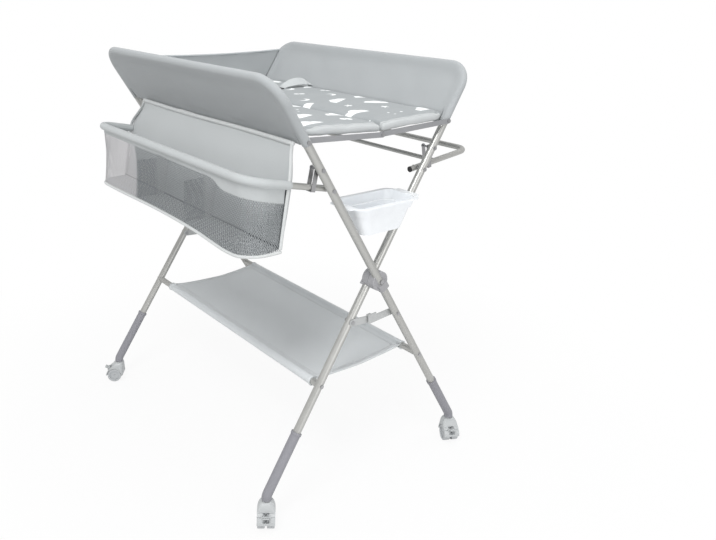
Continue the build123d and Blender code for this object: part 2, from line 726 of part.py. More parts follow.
def belt_strip(points_low, points_high):
    """Webbing strip between two curves in the X-Z plane."""
    low = Spline(*points_low)
    high = Spline(*points_high)
    outline = make_face(low + Line(low @ 1, high @ 1) + high + Line(high @ 0, low @ 0))
    return y_plate(0, 0, outline, BELT_Y - BELT_WIDTH / 2, BELT_Y + BELT_WIDTH / 2)


def belt_points(stations, lift):
    """Points over the pad at (side, reach) stations."""
    return [pad_top(side, reach, lift) for side, reach in stations]


def strap_left():
    """Belt webbing from the left edge of the pad to the fold line."""
    end = PAD_HALF_WIDTH - BELT_END_INSET
    stations = [(-1, share * (end - PAD_GAP) + PAD_GAP) for share in BELT_STATION_SHARES]
    return belt_strip(belt_points(stations, BELT_LIFT), belt_points(stations, BELT_LIFT + BELT_T))


def strap_middle():
    """Belt webbing from the fold line to the buckle."""
    gap = BUCKLE_X - BUCKLE_LENGTH / 2 - RUN
    stations = [(1, PAD_GAP), (1, (PAD_GAP + gap) / 2), (1, gap)]
    return belt_strip(belt_points(stations, BELT_LIFT), belt_points(stations, BELT_LIFT + BELT_T))


def strap_right():
    """Belt webbing from the buckle to the right edge of the pad."""
    end = PAD_HALF_WIDTH - BELT_END_INSET
    start = BUCKLE_X + BUCKLE_LENGTH / 2 + RUN
    stations = [(1, start), (1, (start + end) / 2), (1, end)]
    return belt_strip(belt_points(stations, BELT_LIFT), belt_points(stations, BELT_LIFT + BELT_T))


def buckle_plane():
    """Plane on the pad under the buckle, its x toward the right edge."""
    x, z = pad_top(1, BUCKLE_X, BELT_LIFT)
    turn = radians(RAIL_TURN)
    return Plane(origin=(x, BELT_Y, z), x_dir=(cos(turn), 0, sin(turn)),
                 z_dir=(-sin(turn), 0, cos(turn)))


def buckle_block(start, finish, width):
    """Rounded block of the buckle between two stations along it."""
    length = finish - start
    block = Pos((start + finish) / 2, 0, BUCKLE_T / 2) * Box(length, width, BUCKLE_T)
    return chamfer(block.edges().filter_by(Axis.X), BUCKLE_EDGE)


def prongs(clear):
    """The two side prongs of the plug and its middle guide."""
    start, length = BUCKLE_SPLIT - PRONG_LENGTH - clear, PRONG_LENGTH + clear
    side_y = BUCKLE_WIDTH / 2 - PRONG_WIDTH
    bars = []
    for y in (-side_y, 0, side_y):
        bar = Box(length, PRONG_WIDTH + 2 * clear, PRONG_T + 2 * clear)
        bars.append(Pos(start + length / 2, y, BUCKLE_T / 2) * bar)
    return bars


def buckle_socket():
    """Hollow half of the side release buckle."""
    socket = buckle_block(-BUCKLE_LENGTH / 2, BUCKLE_SPLIT - RUN, BUCKLE_WIDTH)
    for bar in prongs(RUN):
        socket -= bar
    return buckle_plane() * socket


def buckle_plug():
    """Plug half of the buckle with its prongs, thinner where its strap goes through."""
    plug = buckle_block(BUCKLE_SPLIT, BUCKLE_LENGTH / 2, BUCKLE_WIDTH - BUCKLE_EDGE)
    start = BUCKLE_SPLIT + PLUG_HEAD
    plug -= Pos(start + CUT / 2, 0, PLUG_END_T + CUT / 2) * Box(CUT, CUT, CUT)
    for bar in prongs(0.0):
        plug += bar
    return buckle_plane() * plug


# Braces below the hub

BRACE_X = leg_x(BRACE_Z)
BRACE_TURN = degrees(atan(BRACE_DIP / BRACE_X))
BRACE_SPAN = sqrt(BRACE_X ** 2 + BRACE_DIP ** 2)


def brace_a(end):
    """Brace half on frame A."""
    y = link_y(1, end)
    outline = link_outline(BRACE_SPAN, BRACE_WIDTH)
    return y_plate(-BRACE_X, BRACE_Z, outline, y - LINK_T / 2, y + LINK_T / 2, -BRACE_TURN)


def brace_b(end):
    """Brace half on frame B, with its middle rivet and the flange that stops it past straight."""
    y = link_y(-1, end)
    x, z = 0.0, BRACE_Z - BRACE_DIP
    low, high = -BRACE_WIDTH / 2, BRACE_WIDTH / 2 + STOP_CLEAR
    tail = Pos(-STOP_REACH / 2, (low + high) / 2) * Rectangle(STOP_REACH, high - low)
    neck = Pos(STOP_SPAN / 2 - STOP_REACH, (high + STOP_T) / 2) * Rectangle(STOP_SPAN, high + STOP_T)
    outline = Pos(BRACE_SPAN / 2, 0) * SlotCenterToCenter(BRACE_SPAN, BRACE_WIDTH) + tail + neck
    outline -= Pos(BRACE_SPAN, 0) * Circle(PIN_R + PIN_CLEAR)
    link = y_plate(x, z, outline, y - LINK_T / 2, y + LINK_T / 2, BRACE_TURN)
    flange = Pos(STOP_LIP / 2 - STOP_REACH, high + STOP_T / 2) * Rectangle(STOP_LIP, STOP_T)
    y_a = link_y(1, end)
    link += y_plate(x, z, flange, y - LINK_T / 2, y_a + LINK_T / 2, BRACE_TURN)
    return link + middle_pin(z, end)


# Shelf cloth and head wall

def shelf_cloth():
    """Cloth with a hem round each shelf rail and a slight sag between them."""
    x, rail = leg_x(SHELF_Z), SHELF_RAIL_OD / 2
    thick = SHELF_CLOTH_T / 2
    upper = ThreePointArc((-x, thick), (0, thick - SHELF_SAG), (x, thick))
    lower = ThreePointArc((-x, -thick), (0, -thick - SHELF_SAG), (x, -thick))
    outline = make_face(upper + Line(upper @ 1, lower @ 1) + lower + Line(lower @ 0, upper @ 0))
    for side in SIDES.values():
        outline += Pos(side * x, 0) * Circle(rail + RUN + SHELF_HEM_T)
    for side in SIDES.values():
        outline -= Pos(side * x, 0) * Circle(rail + RUN)
    near = leg_y(1, -1) + LEG_R + SHELF_BARE_END
    far = leg_y(-1, 1) - LEG_R - SHELF_BARE_END
    return y_plate(0, SHELF_Z, outline, near, far)


def head_wall():
    """Fabric wall across the far end, from guard to guard."""
    y_a = leg_y(1, 1) - WALL_INSET_A
    y_b = leg_y(-1, 1) - WALL_INSET_B
    face = GUARD_SLEEVE_R / COS + RUN
    levels = [pad_top(1, share * PAD_HALF_WIDTH, WALL_LIFT) for share in WALL_STATION_SHARES]
    low_x, low_z = leg_x(levels[-1][1]) - face, levels[-1][1]
    top_x = leg_x(WALL_TOP_Z) - face
    plane = Plane(origin=(0, (y_a + y_b) / 2, 0), x_dir=(low_x + top_x, y_a - y_b, 0),
                  z_dir=(y_a - y_b, -low_x - top_x, 0))
    top = ThreePointArc((top_x, WALL_TOP_Z), (0, WALL_TOP_Z - WALL_SAG), (-top_x, WALL_TOP_Z))
    right = levels[:-1] + [(low_x, low_z), (top_x, WALL_TOP_Z)]
    left = [(-x, z) for x, z in right[::-1]]
    rest = Polyline(*left, *right[1:])
    return extrude(plane * make_face(top + rest), amount=WALL_T / 2, both=True)


# Storage bin

def bin_level(z, length, width, corner):
    """Rounded rectangle at height z."""
    return Pos(0, BIN_Y, z) * RectangleRounded(length, width, corner)


def bin_body(inset, low_z, high_z):
    """Tapered body with a step below the rim, drawn in by inset."""
    def size_at(z, top, bottom):
        share = (z - BIN_BOTTOM_Z) / (BIN_RIM_Z - BIN_BOTTOM_Z)
        return bottom + share * (top - bottom) - 2 * inset

    def level(z, step):
        length = size_at(z, BIN_TOP_LENGTH, BIN_BOTTOM_LENGTH) - 2 * step
        width = size_at(z, BIN_TOP_WIDTH, BIN_BOTTOM_WIDTH) - 2 * step
        return bin_level(z, length, width, BIN_CORNER_R - inset)

    lower = loft([level(low_z, BIN_STEP), level(BIN_STEP_Z, BIN_STEP)])
    return lower + loft([level(BIN_STEP_Z, 0.0), level(high_z, 0.0)])


def storage_bin():
    """Open plastic bin with a rim whose end ears rest on the two near legs."""
    body = bin_body(0.0, BIN_BOTTOM_Z, BIN_RIM_Z)
    rim_low = BIN_RIM_Z - BIN_RIM_T
    rim = bin_level(rim_low, BIN_TOP_LENGTH + 2 * BIN_RIM_WIDTH, BIN_TOP_WIDTH + 2 * BIN_RIM_WIDTH,
                    BIN_CORNER_R + BIN_RIM_WIDTH)
    reach = leg_x(rim_low) - LEG_R / COS - RUN
    ears = bin_level(rim_low, 2 * reach, BIN_EAR_WIDTH, BIN_RIM_WIDTH)
    body += extrude(rim + ears, amount=BIN_RIM_T, dir=(0, 0, 1))
    return body - bin_body(BIN_WALL, BIN_BOTTOM_Z + BIN_WALL, BIN_RIM_Z + BIN_WALL)


# Casters, drawn with the swivel axis at the origin and the wheels behind it at +X

def axis_rod(x, z, half, radius):
    """Bar along Y, centred."""
    return y_rod(x, z, -half, half, radius)


def pedal_hinge():
    """Place of the brake pedal's hinge on the hood."""
    radius = WHEEL_R + HOOD_CLEAR + PEDAL_BARREL_R
    angle = radians(PEDAL_ANGLE)
    return CASTER_TRAIL + radius * cos(angle), WHEEL_R + radius * sin(angle)


def caster_hood():
    """Fender over both wheels, with the web between them and the boss for the stem."""
    x, z = CASTER_TRAIL, WHEEL_R
    inner, outer = WHEEL_R + HOOD_CLEAR, WHEEL_R + HOOD_CLEAR + HOOD_WALL
    boss_top = FOOT_BOTTOM_Z - HOOD_BOSS_GAP
    fender = axis_rod(x, z, HOOD_WIDTH / 2, outer) - axis_rod(x, z, HOOD_WIDTH, inner)
    low = Pos(x, 0, z - outer) * Box(4 * outer, 2 * HOOD_WIDTH, 2 * outer)
    fender -= low
    web = axis_rod(x, z, WEB_T / 2, inner + HOOD_WALL / 2) - low
    web += axis_rod(x, z, WEB_T / 2, AXLE_R + HOOD_WALL)
    hood = fender + web
    hood += rod(Vector(0, 0, z + inner - HOOD_WALL), Vector(0, 0, boss_top), HOOD_BOSS_R)
    hood -= axis_rod(x, z, HOOD_WIDTH, inner) - axis_rod(x, z, WEB_T / 2, 2 * outer)
    hood -= rod(Vector(0, 0, STEM_START_Z - FIT), Vector(0, 0, FOOT_BOTTOM_Z + CUT), STEM_R + PIN_CLEAR)
    hood -= axis_rod(x, z, HOOD_WIDTH, AXLE_R + PIN_CLEAR)
    px, pz = pedal_hinge()
    slot_half = PEDAL_WIDTH / 2 + PEDAL_SLOT_CLEAR
    hood -= axis_rod(px, pz, slot_half, PEDAL_BARREL_R + PEDAL_SLOT_ARC)
    ears = axis_rod(px, pz, slot_half + HOOD_WALL, PEDAL_BARREL_R + HOOD_WALL / 2)
    ears -= axis_rod(px, pz, slot_half, PEDAL_BARREL_R + PEDAL_SLOT_ARC)
    ears -= axis_rod(x, z, HOOD_WIDTH, inner)
    return hood + ears - axis_rod(px, pz, HOOD_WIDTH, PEDAL_PIN_R + PIN_CLEAR)


def caster_wheels():
    """Two wheels on one axle."""
    x, z = CASTER_TRAIL, WHEEL_R
    start = WEB_T / 2 + RUN
    group = []
    for way in (-1, 1):
        wheel = y_rod(x, z, way * start, way * (start + WHEEL_WIDTH), WHEEL_R)
        wheel = fillet(wheel.edges().filter_by(GeomType.CIRCLE), WHEEL_EDGE)
        face = start + WHEEL_WIDTH
        wheel -= y_rod(x, z, way * (face - WHEEL_DISH), way * (face + WHEEL_DISH), WHEEL_DISH_R)
        wheel -= axis_rod(x, z, HOOD_WIDTH, AXLE_R + FIT)
        group.append(wheel)
    group.append(axis_rod(x, z, start + WHEEL_WIDTH - WHEEL_EDGE, AXLE_R))
    return group


def caster_pedal():
    """Brake pedal: a barrel on two pins with a short lever."""
    px, pz = pedal_hinge()
    slot_half = PEDAL_WIDTH / 2 + PEDAL_SLOT_CLEAR
    pedal = axis_rod(px, pz, PEDAL_WIDTH / 2, PEDAL_BARREL_R)
    lever = Pos(PEDAL_LENGTH / 2, 0) * SlotOverall(PEDAL_LENGTH, PEDAL_T)
    pedal += y_plate(px, pz, lever, -PEDAL_WIDTH / 2, PEDAL_WIDTH / 2, PEDAL_RISE)
    return pedal + axis_rod(px, pz, slot_half + HOOD_WALL / 2, PEDAL_PIN_R)


def caster_place(side, end, yaw):
    """Location of a caster under its foot."""
    return Pos(-side * FOOT_X, leg_y(side, end), 0) * Rot(0, 0, yaw)


def caster_stem(side, end):
    """Steel stem in the foot sleeve, on which the hood swivels."""
    x, y = -side * FOOT_X, leg_y(side, end)
    return rod(Vector(x, y, STEM_START_Z), Vector(x, y, FOOT_BOTTOM_Z + STEM_DEPTH), STEM_R)


# Assembly

def group(solids):
    """Separate solids kept in one node."""
    return Compound(children=[s for s in solids])


def frame_parts(name, side):
    """Nodes of one frame."""
    parts = {}
    for end_name, end in ENDS.items():
        parts[f"leg_{name}_{end_name}"] = leg(side, end)
    parts[f"guard_hoop_{name}"] = guard_hoop(side)
    parts[f"guard_panel_{name}"] = guard_panel(side)
    parts[f"shelf_rail_{name}"] = shelf_rail(side)
    parts[f"foot_sleeves_{name}"] = group([foot_sleeve(side, e) for e in ENDS.values()])
    parts[f"hub_halves_{name}"] = group([hub_half(side, e) for e in ENDS.values()])
    parts[f"rivets_{name}"] = group(rivets(side))
    parts[f"caster_stems_{name}"] = group([caster_stem(side, e) for e in ENDS.values()])
    return parts


def caster_parts():
    """Nodes of the four casters."""
    parts = {}
    for place, yaw in CASTER_YAWS.items():
        side_name, end_name = place.split("_")
        spot = caster_place(SIDES[side_name], ENDS[end_name], yaw)
        parts[f"caster_hood_{place}"] = spot * caster_hood()
        parts[f"caster_wheels_{place}"] = group([spot * s for s in caster_wheels()])
        parts[f"caster_pedal_{place}"] = spot * caster_pedal()
    return parts


def all_parts():
    """Every node of the table by name."""
    parts = frame_parts("a", 1) | frame_parts("b", -1)
    ends = ENDS.values()
    parts["hub_bolts"] = group([hub_bolt(e) for e in ends])
    parts["rack_hangers"] = group([u_strap(1, e, RACK_TILT) for e in ends])
    parts["basket_hangers"] = group([u_strap(-1, e, BASKET_TILT) for e in ends])
    parts["head_wall"] = head_wall()
    parts["shelf_cloth"] = shelf_cloth()
    parts["top_rails_right"] = group([top_rail(1, e) for e in ends])
    parts["top_rails_left"] = group([top_rail(-1, e) for e in ends])
    parts["top_pins"] = group([top_pin(e) for e in ends])
    parts["pad_right"] = pad_half(1)
    parts["pad_left"] = pad_half(-1)
    parts["strap_left"] = strap_left()
    parts["strap_middle"] = strap_middle()
    parts["strap_right"] = strap_right()
    parts["buckle_socket"] = buckle_socket()
    parts["buckle_plug"] = buckle_plug()
    for end_name, end in ENDS.items():
        parts[f"brace_a_{end_name}"] = brace_a(end)
        parts[f"brace_b_{end_name}"] = brace_b(end)
    stubs = (RACK_STUB_NEAR, RACK_STUB_FAR)
    parts["rack_loop"] = loop(1, RACK_OUT_X, RACK_TILT, RACK_BEND, stubs)
    parts["rack_bar"] = rack_bar()
    parts["rack_plugs"] = group([rack_plug(e, s) for e, s in zip(ends, stubs)])
    parts["basket_loop"] = loop(-1, BASKET_OUT_X, BASKET_TILT, BASKET_BEND,
                                (BASKET_STUB, BASKET_STUB))
    parts["basket_band"] = basket_band()
    parts["basket_mesh"] = basket_mesh()
    parts["basket_back"] = basket_back()
    parts["basket_dividers"] = group(basket_dividers())
    parts["basket_piping"] = basket_piping()
    parts["storage_bin"] = storage_bin()
    return parts | caster_parts()


def fold_numbers():
    """Ranges in degrees of the fold and of the links that follow it."""
    fold = 2 * (LEG_ANGLE - FOLDED_HALF_ANGLE)
    rows = {"fold": fold}
    for name, x, z, span, turn in (("top", RAIL_X, RAIL_Z, RAIL_SPAN, RAIL_TURN),
                                   ("brace", BRACE_X, BRACE_Z, BRACE_SPAN, BRACE_TURN)):
        radius = abs(z - HUB_Z) / COS
        lift = degrees(acos(radius * sin(radians(FOLDED_HALF_ANGLE)) / span)) + turn
        rows[name + "_lift"] = lift
    return rows


if __name__ == "__main__":
    os.makedirs("parts", exist_ok=True)
    table = all_parts()
    box = Compound(children=[p.moved(Location((0, 0, 0))) for p in table.values()]).bounding_box()
    shift = Location((-(box.min.X + box.max.X) / 2, -(box.min.Y + box.max.Y) / 2, -box.min.Z))
    for node, shape in table.items():
        export_step(shape.moved(shift), f"parts/{node}.step")
    print("nodes", len(table), "shift", tuple(round(v, 4) for v in shift.position))
    print("size", [round(v, 2) for v in box.size])
    print("fold", {k: round(v, 4) for k, v in fold_numbers().items()})
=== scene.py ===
import math

import bmesh
import bpy
import numpy as np
from mathutils import Matrix, Vector


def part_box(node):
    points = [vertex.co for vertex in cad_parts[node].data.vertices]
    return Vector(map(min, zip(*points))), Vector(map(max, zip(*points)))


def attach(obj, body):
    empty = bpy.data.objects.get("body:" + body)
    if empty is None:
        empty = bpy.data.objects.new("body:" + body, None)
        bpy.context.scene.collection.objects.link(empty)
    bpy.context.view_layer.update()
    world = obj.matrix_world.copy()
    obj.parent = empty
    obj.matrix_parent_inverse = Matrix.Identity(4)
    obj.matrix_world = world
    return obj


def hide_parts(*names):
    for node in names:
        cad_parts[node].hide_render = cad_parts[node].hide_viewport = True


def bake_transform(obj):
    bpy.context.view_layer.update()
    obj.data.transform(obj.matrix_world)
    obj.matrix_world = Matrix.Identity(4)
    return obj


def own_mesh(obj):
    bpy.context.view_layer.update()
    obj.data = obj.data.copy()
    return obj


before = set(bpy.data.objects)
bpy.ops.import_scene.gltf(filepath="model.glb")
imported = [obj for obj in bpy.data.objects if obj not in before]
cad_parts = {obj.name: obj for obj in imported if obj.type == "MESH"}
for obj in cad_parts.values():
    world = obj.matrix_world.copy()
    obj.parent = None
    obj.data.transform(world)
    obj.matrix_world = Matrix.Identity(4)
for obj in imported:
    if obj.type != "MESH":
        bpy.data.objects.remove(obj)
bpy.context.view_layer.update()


# Shader maths written as expressions

class Val:
    """A node's output socket that takes part in Python arithmetic."""

    def __init__(self, finish, out):
        self.finish, self.out = finish, out

    def op(self, operation, *others):
        return self.finish.math(operation, self, *others)

    def __add__(self, other):
        return self.op("ADD", other)

    __radd__ = __add__

    def __mul__(self, other):
        return self.op("MULTIPLY", other)

    __rmul__ = __mul__

    def __sub__(self, other):
        return self.op("SUBTRACT", other)

    def __rsub__(self, other):
        return self.finish.math("SUBTRACT", other, self)

    def __truediv__(self, other):
        return self.op("DIVIDE", other)

    def __neg__(self):
        return self.op("MULTIPLY", -1.0)

    def __gt__(self, other):
        return self.op("GREATER_THAN", other)

    def __lt__(self, other):
        return self.op("LESS_THAN", other)

    def sin(self):
        return self.op("SINE")

    def cos(self):
        return self.op("COSINE")

    def abs(self):
        return self.op("ABSOLUTE")

    def floor(self):
        return self.op("FLOOR")

    def root(self):
        return self.op("SQRT")

    def low(self, other):
        return self.op("MINIMUM", other)

    def high(self, other):
        return self.op("MAXIMUM", other)

    def step(self, start, end):
        """0 below start, 1 above end, smooth between."""
        node = self.finish.node("ShaderNodeMapRange", {"interpolation_type": "SMOOTHSTEP"},
                                {"Value": self, "From Min": start, "From Max": end})
        return Val(self.finish, node.outputs["Result"])


class Finish:
    """A material and the nodes that make its look."""

    def __init__(self, name, colour, rough=0.5, metal=0.0):
        self.material = bpy.data.materials.new(name)
        self.material.use_nodes = True
        self.tree = self.material.node_tree
        self.shader = self.tree.nodes["Principled BSDF"]
        self.set("Base Color", (*colour, 1.0))
        self.set("Roughness", rough)
        self.set("Metallic", metal)

    def node(self, kind, settings=None, sockets=None):
        node = self.tree.nodes.new(kind)
        for key, value in (settings or {}).items():
            setattr(node, key, value)
        for key, value in (sockets or {}).items():
            self.feed(node.inputs[key], value)
        return node

    def feed(self, socket, value):
        if isinstance(value, Val):
            self.tree.links.new(value.out, socket)
        else:
            socket.default_value = value

    def set(self, name, value):
        self.feed(self.shader.inputs[name], value)

    def math(self, operation, *values):
        node = self.node("ShaderNodeMath", {"operation": operation}, dict(enumerate(values)))
        return Val(self, node.outputs[0])

    def place(self):
        """Object coordinates, as one vector value."""
        return Val(self, self.node("ShaderNodeTexCoord").outputs["Object"])

    def uv(self, name="cloth"):
        """A UV map in metres as two values."""
        node = self.node("ShaderNodeUVMap", {"uv_map": name})
        return self.split(Val(self, node.outputs["UV"]))[:2]

    def split(self, vector):
        """The three parts of a vector."""
        node = self.node("ShaderNodeSeparateXYZ", None, {0: vector})
        return [Val(self, out) for out in node.outputs]

    def join(self, x, y):
        node = self.node("ShaderNodeCombineXYZ", None, {0: x, 1: y})
        return Val(self, node.outputs[0])

    def noise(self, scale, detail=3.0):
        """Smooth noise from 0 to 1 over the object, scale in turns per metre."""
        node = self.node("ShaderNodeTexNoise", None,
                         {"Vector": self.place(), "Scale": scale, "Detail": detail})
        return Val(self, node.outputs["Fac"])

    def mix(self, share, first, second):
        """The first colour where the share is 0, the second where it is 1."""
        node = self.node("ShaderNodeMix", {"data_type": "RGBA"})
        self.feed(node.inputs["Factor"], share)
        for key, value in ((6, first), (7, second)):
            self.feed(node.inputs[key], value if isinstance(value, Val) else (*value, 1.0))
        return Val(self, node.outputs[2])

    def bump(self, height, depth):
        """Relief of the given depth in metres."""
        node = self.node("ShaderNodeBump", None,
                         {"Height": height, "Distance": depth, "Strength": 1.0})
        self.tree.links.new(node.outputs["Normal"], self.shader.inputs["Normal"])


def linear(r, g, b):
    """Screen colour from 0 to 255 as linear light."""
    def one(c):
        c /= 255
        return c / 12.92 if c <= 0.04045 else ((c + 0.055) / 1.055) ** 2.4
    return one(r), one(g), one(b)


def shade(colour, factor):
    return tuple(c * factor for c in colour)


FINE_PITCH, STITCH_PITCH = 0.0009, 0.0042


def weave(u, v, pitch=FINE_PITCH):
    """Plain weave: threads along v pass over and under threads along u."""
    a, b = u * (math.pi / pitch), v * (math.pi / pitch)
    return (a.sin() * b.sin()).abs() * 0.6 + (a.cos() * b.cos()).abs() * 0.4


def stitching(d, along, inset, thread, gully):
    """Stitches at an inset from an edge: dashes as wide as the thread, and the gully they pull in."""
    off = (d - inset).abs()
    dash = (along * (2 * math.pi / STITCH_PITCH)).sin().step(-0.55, -0.25)
    return (1.0 - off.step(0.0003, thread)) * dash, 1.0 - off.step(0.0008, gully)


def woven(name, colour, pitch=FINE_PITCH, depth=0.00022, seam=True, rough=0.85):
    """Coated polyester cloth with a fine weave, faint wrinkles and a stitched line by its seam, with
    painted shade in the gully by the stitches.
    """
    f = Finish(name, colour, rough)
    threads = weave(*f.uv(), pitch)
    slow = f.noise(14.0, 4.0)
    fine = f.noise(420.0, 2.0)
    height = threads + slow * 1.2
    tone = slow * 0.16 + fine * 0.10 + threads * 0.08
    if seam:
        stitch, gully = stitching(*f.uv("seam"), inset=0.0135, thread=0.0011, gully=0.0032)
        height = height - gully * 3.2 + stitch * 2.6
        # painted shade: the gully beside the stitches is darkened; the stitch thread itself is lighter
        tone = tone - gully * 0.10 + stitch * 0.12
    f.set("Base Color", f.mix(tone.low(1.0).high(0.0), shade(colour, 0.86), shade(colour, 1.16)))
    f.set("Roughness", rough + (slow - 0.5) * 0.12)
    f.bump(height, depth)
    f.set("Sheen Weight", 0.18)
    f.set("Sheen Roughness", 0.5)
    return f


def painted_tube(name, colour, metal, rough, flake=900.0):
    """Metallic paint: fine flakes, a soft orange peel and slightly rubbed tone."""
    f = Finish(name, colour, rough, metal)
    slow, fine = f.noise(22.0, 3.0), f.noise(flake, 1.0)
    f.set("Base Color", f.mix(slow * 0.5 + fine * 0.5, shade(colour, 0.88), shade(colour, 1.10)))
    f.set("Roughness", rough + (slow - 0.5) * 0.16)
    f.bump(f.noise(260.0, 2.0), 0.00010)
    f.set("Coat Weight", 0.25)
    f.set("Coat Roughness", 0.25)
    return f


def moulded(name, colour, rough=0.45, grain=700.0, depth=0.00008):
    """Moulded plastic with a fine grain and faint flow marks."""
    f = Finish(name, colour, rough)
    slow, fine = f.noise(30.0, 2.0), f.noise(grain, 2.0)
    f.set("Base Color", f.mix(slow, shade(colour, 0.93), shade(colour, 1.05)))
    f.set("Roughness", rough + (fine - 0.5) * 0.14)
    f.bump(fine, depth)
    return f


GREY = linear(171, 175, 177)
PAD_STITCH, PAD_HALF = 0.017, 0.391
tube_silver = painted_tube("silver_tube_paint", linear(182, 182, 179), 0.60, 0.38)
brace_paint = painted_tube("pale_brace_paint", linear(188, 190, 190), 0.35, 0.45)
rivet_steel = painted_tube("zinc_rivet_steel", linear(176, 176, 178), 0.95, 0.30, 1600.0)
link_steel = painted_tube("grey_link_paint", linear(156, 157, 160), 0.45, 0.42)
foot_grey = moulded("lavender_grey_plastic", linear(140, 140, 146), 0.50)
hub_grey = moulded("hub_grey_plastic", linear(158, 158, 161), 0.50)
caster_grey = moulded("caster_grey_plastic", linear(184, 187, 188), 0.40)
wheel_grey = moulded("wheel_grey_plastic", linear(182, 185, 187), 0.48, 300.0, 0.00012)
bin_white = moulded("gloss_white_plastic", linear(240, 243, 246), 0.22, 500.0, 0.00003)
black_plastic = moulded("black_buckle_plastic", linear(28, 28, 30), 0.38)
guard_cloth = woven("guard_cloth", GREY, seam=False)
back_cloth = woven("basket_back_cloth", linear(204, 208, 209), seam=False)
shelf_cloth = woven("shelf_cloth", linear(222, 226, 228), 0.0011, 0.00028)
# painted shade: the band and rim sleeve cloth is the back wall's cloth made darker, against the stronger
# light on their tops
shaded_band_cloth = woven("basket_band_painted_shade_cloth", linear(192, 196, 197), seam=False)
binding_cloth = woven("binding_tape", linear(214, 217, 217), 0.0014, 0.00035, seam=False)
wall_binding = woven("wall_binding_tape", linear(184, 189, 191), 0.0014, 0.00035, seam=False)


def webbing_finish():
    """Ribbed belt webbing: ribs across it that run in a herringbone, with a raised edge."""
    colour, rib_pitch, bone_pitch, edge_start = linear(196, 200, 201), 0.0011, 0.004, 0.0105
    f = Finish("belt_webbing", colour, 0.7)
    u, v = f.uv()
    bone = (v * (math.pi / bone_pitch)).sin().abs() * 0.0012
    ribs = ((u + bone) * (math.pi / rib_pitch)).sin().abs()
    edge = (v.abs() - edge_start).step(0.0, 0.0006)
    f.set("Base Color", f.mix(ribs * 0.7 + f.noise(300.0) * 0.3, shade(colour, 0.82), shade(colour, 1.1)))
    f.bump(ribs + edge * 0.8, 0.0003)
    return f


def mesh_finish(name, deep, pale, lined=False):
    """Knitted net: crossed threads with open diamonds between them, or pale ones where it is lined.

    Without a lining its threads are painted near white over the far stretch of the wall, as painted light.
    """
    pitch, slant, painted_light_end = 0.0052, 0.62, (0.285, 0.300)
    f = Finish(name, deep, 0.8)
    u, v = f.uv()
    first = ((u + v * slant) * (math.pi / pitch)).sin().abs()
    second = ((u - v * slant) * (math.pi / pitch)).sin().abs()
    thread = first.low(second)
    open_share = thread.step(0.38, 0.50)
    knot = 1.0 - first.high(second).step(0.22, 0.4)
    threads = f.mix(knot * 0.6 + f.noise(200.0) * 0.4, deep, pale)
    if lined:
        f.set("Base Color", f.mix(open_share, threads, linear(222, 224, 225)))
    else:
        f.set("Alpha", 1.0 - open_share)
        # painted light: unlined threads are near white over the far stretch, dark elsewhere
        f.set("Base Color", f.mix(u.step(*painted_light_end), linear(206, 205, 207), threads))
    f.bump(1.0 - thread, 0.0003)
    return f


def pad_finish():
    """Printed pad cover: clouds, moons, stars, dots and puffs, one to a cell.

    Rows of cells are shifted by a share of a cell. A random value for each cell picks its motif,
    and a random colour shifts and turns it. The hem along the near end is left plain.
    """
    wide, tall, row_shift, size = 0.098, 0.074, 0.37, 1 / 1.35
    hem_end, edge = 0.020 - PAD_HALF, 0.0006
    f = Finish("printed_pad_cloth", GREY, 0.8)
    u, v = f.uv()
    row = (v / tall).floor()
    shifted = u / wide + row * row_shift
    col = shifted.floor()
    key = f.node("ShaderNodeTexWhiteNoise", {"noise_dimensions": "2D"}, {"Vector": f.join(col, row)})
    pick = Val(f, key.outputs["Value"])
    chance = f.split(Val(f, key.outputs["Color"]))
    x0 = (shifted - col - 0.5) * wide + (chance[0] - 0.5) * 0.020
    y0 = (v / tall - row - 0.5) * tall + (chance[1] - 0.5) * 0.014
    turn = (chance[2] - 0.5) * 1.3
    x = (x0 * turn.cos() + y0 * turn.sin()) * size
    y = (y0 * turn.cos() - x0 * turn.sin()) * size

    def disc(cx, cy, radius):
        """Positive inside a disc, in metres."""
        return radius - ((x - cx) * (x - cx) + (y - cy) * (y - cy)).root()

    cloud = disc(-0.013, -0.002, 0.009).high(disc(0.0, 0.003, 0.0115)).high(disc(0.013, -0.001, 0.0085))
    cloud = cloud.high((0.0235 - x.abs()).low(0.0048 - (y + 0.0062).abs()))
    moon = disc(0.0, 0.0, 0.0125).low(-disc(0.0062, 0.0035, 0.0110))
    angle = f.math("ARCTAN2", y, x)
    reach = (x * x + y * y).root()
    star = 0.0058 + (angle * 5.0).cos() * 0.0026 - reach
    dots = disc(-0.012, 0.006, 0.0030).high(disc(0.010, -0.005, 0.0022)).high(disc(0.014, 0.009, 0.0026))
    puff = disc(-0.006, 0.0, 0.0065).high(disc(0.005, 0.001, 0.0060))

    shape = cloud.step(0.0, edge) * (pick < 0.50) + puff.step(0.0, edge) * (pick > 0.86)
    for motif, low, high in ((moon, 0.50, 0.64), (star, 0.64, 0.72), (dots, 0.72, 0.86)):
        shape = shape + motif.step(0.0, edge) * (pick > low) * (pick < high)
    printed = v.step(hem_end - 0.0005, hem_end + 0.0005)
    threads = weave(u, v)
    slow = f.noise(16.0, 4.0)
    base = f.mix(slow * 0.5 + threads * 0.3, linear(144, 149, 151), linear(166, 170, 172))
    hem = f.mix(slow, linear(176, 180, 181), linear(190, 193, 194))
    cover = f.mix(shape * printed, base, linear(243, 246, 246))
    f.set("Base Color", f.mix(printed, hem, cover))
    stitch, gully = stitching(*f.uv("seam"), inset=PAD_STITCH, thread=0.001, gully=0.004)
    f.bump(threads + slow * 1.6 - gully * 4.0 + stitch * 2.4, 0.00022)
    f.set("Sheen Weight", 0.15)
    return f


webbing, pad_cloth = webbing_finish(), pad_finish()
net = mesh_finish("dark_net", linear(124, 128, 131), linear(166, 170, 172))
floor_net = mesh_finish("lined_net", linear(116, 120, 122), linear(156, 160, 162), True)
edge_tape = woven("net_edge_tape", linear(92, 96, 98), 0.0014, 0.0002, seam=False)


# Sizes of the table that its cloth follows, in metres

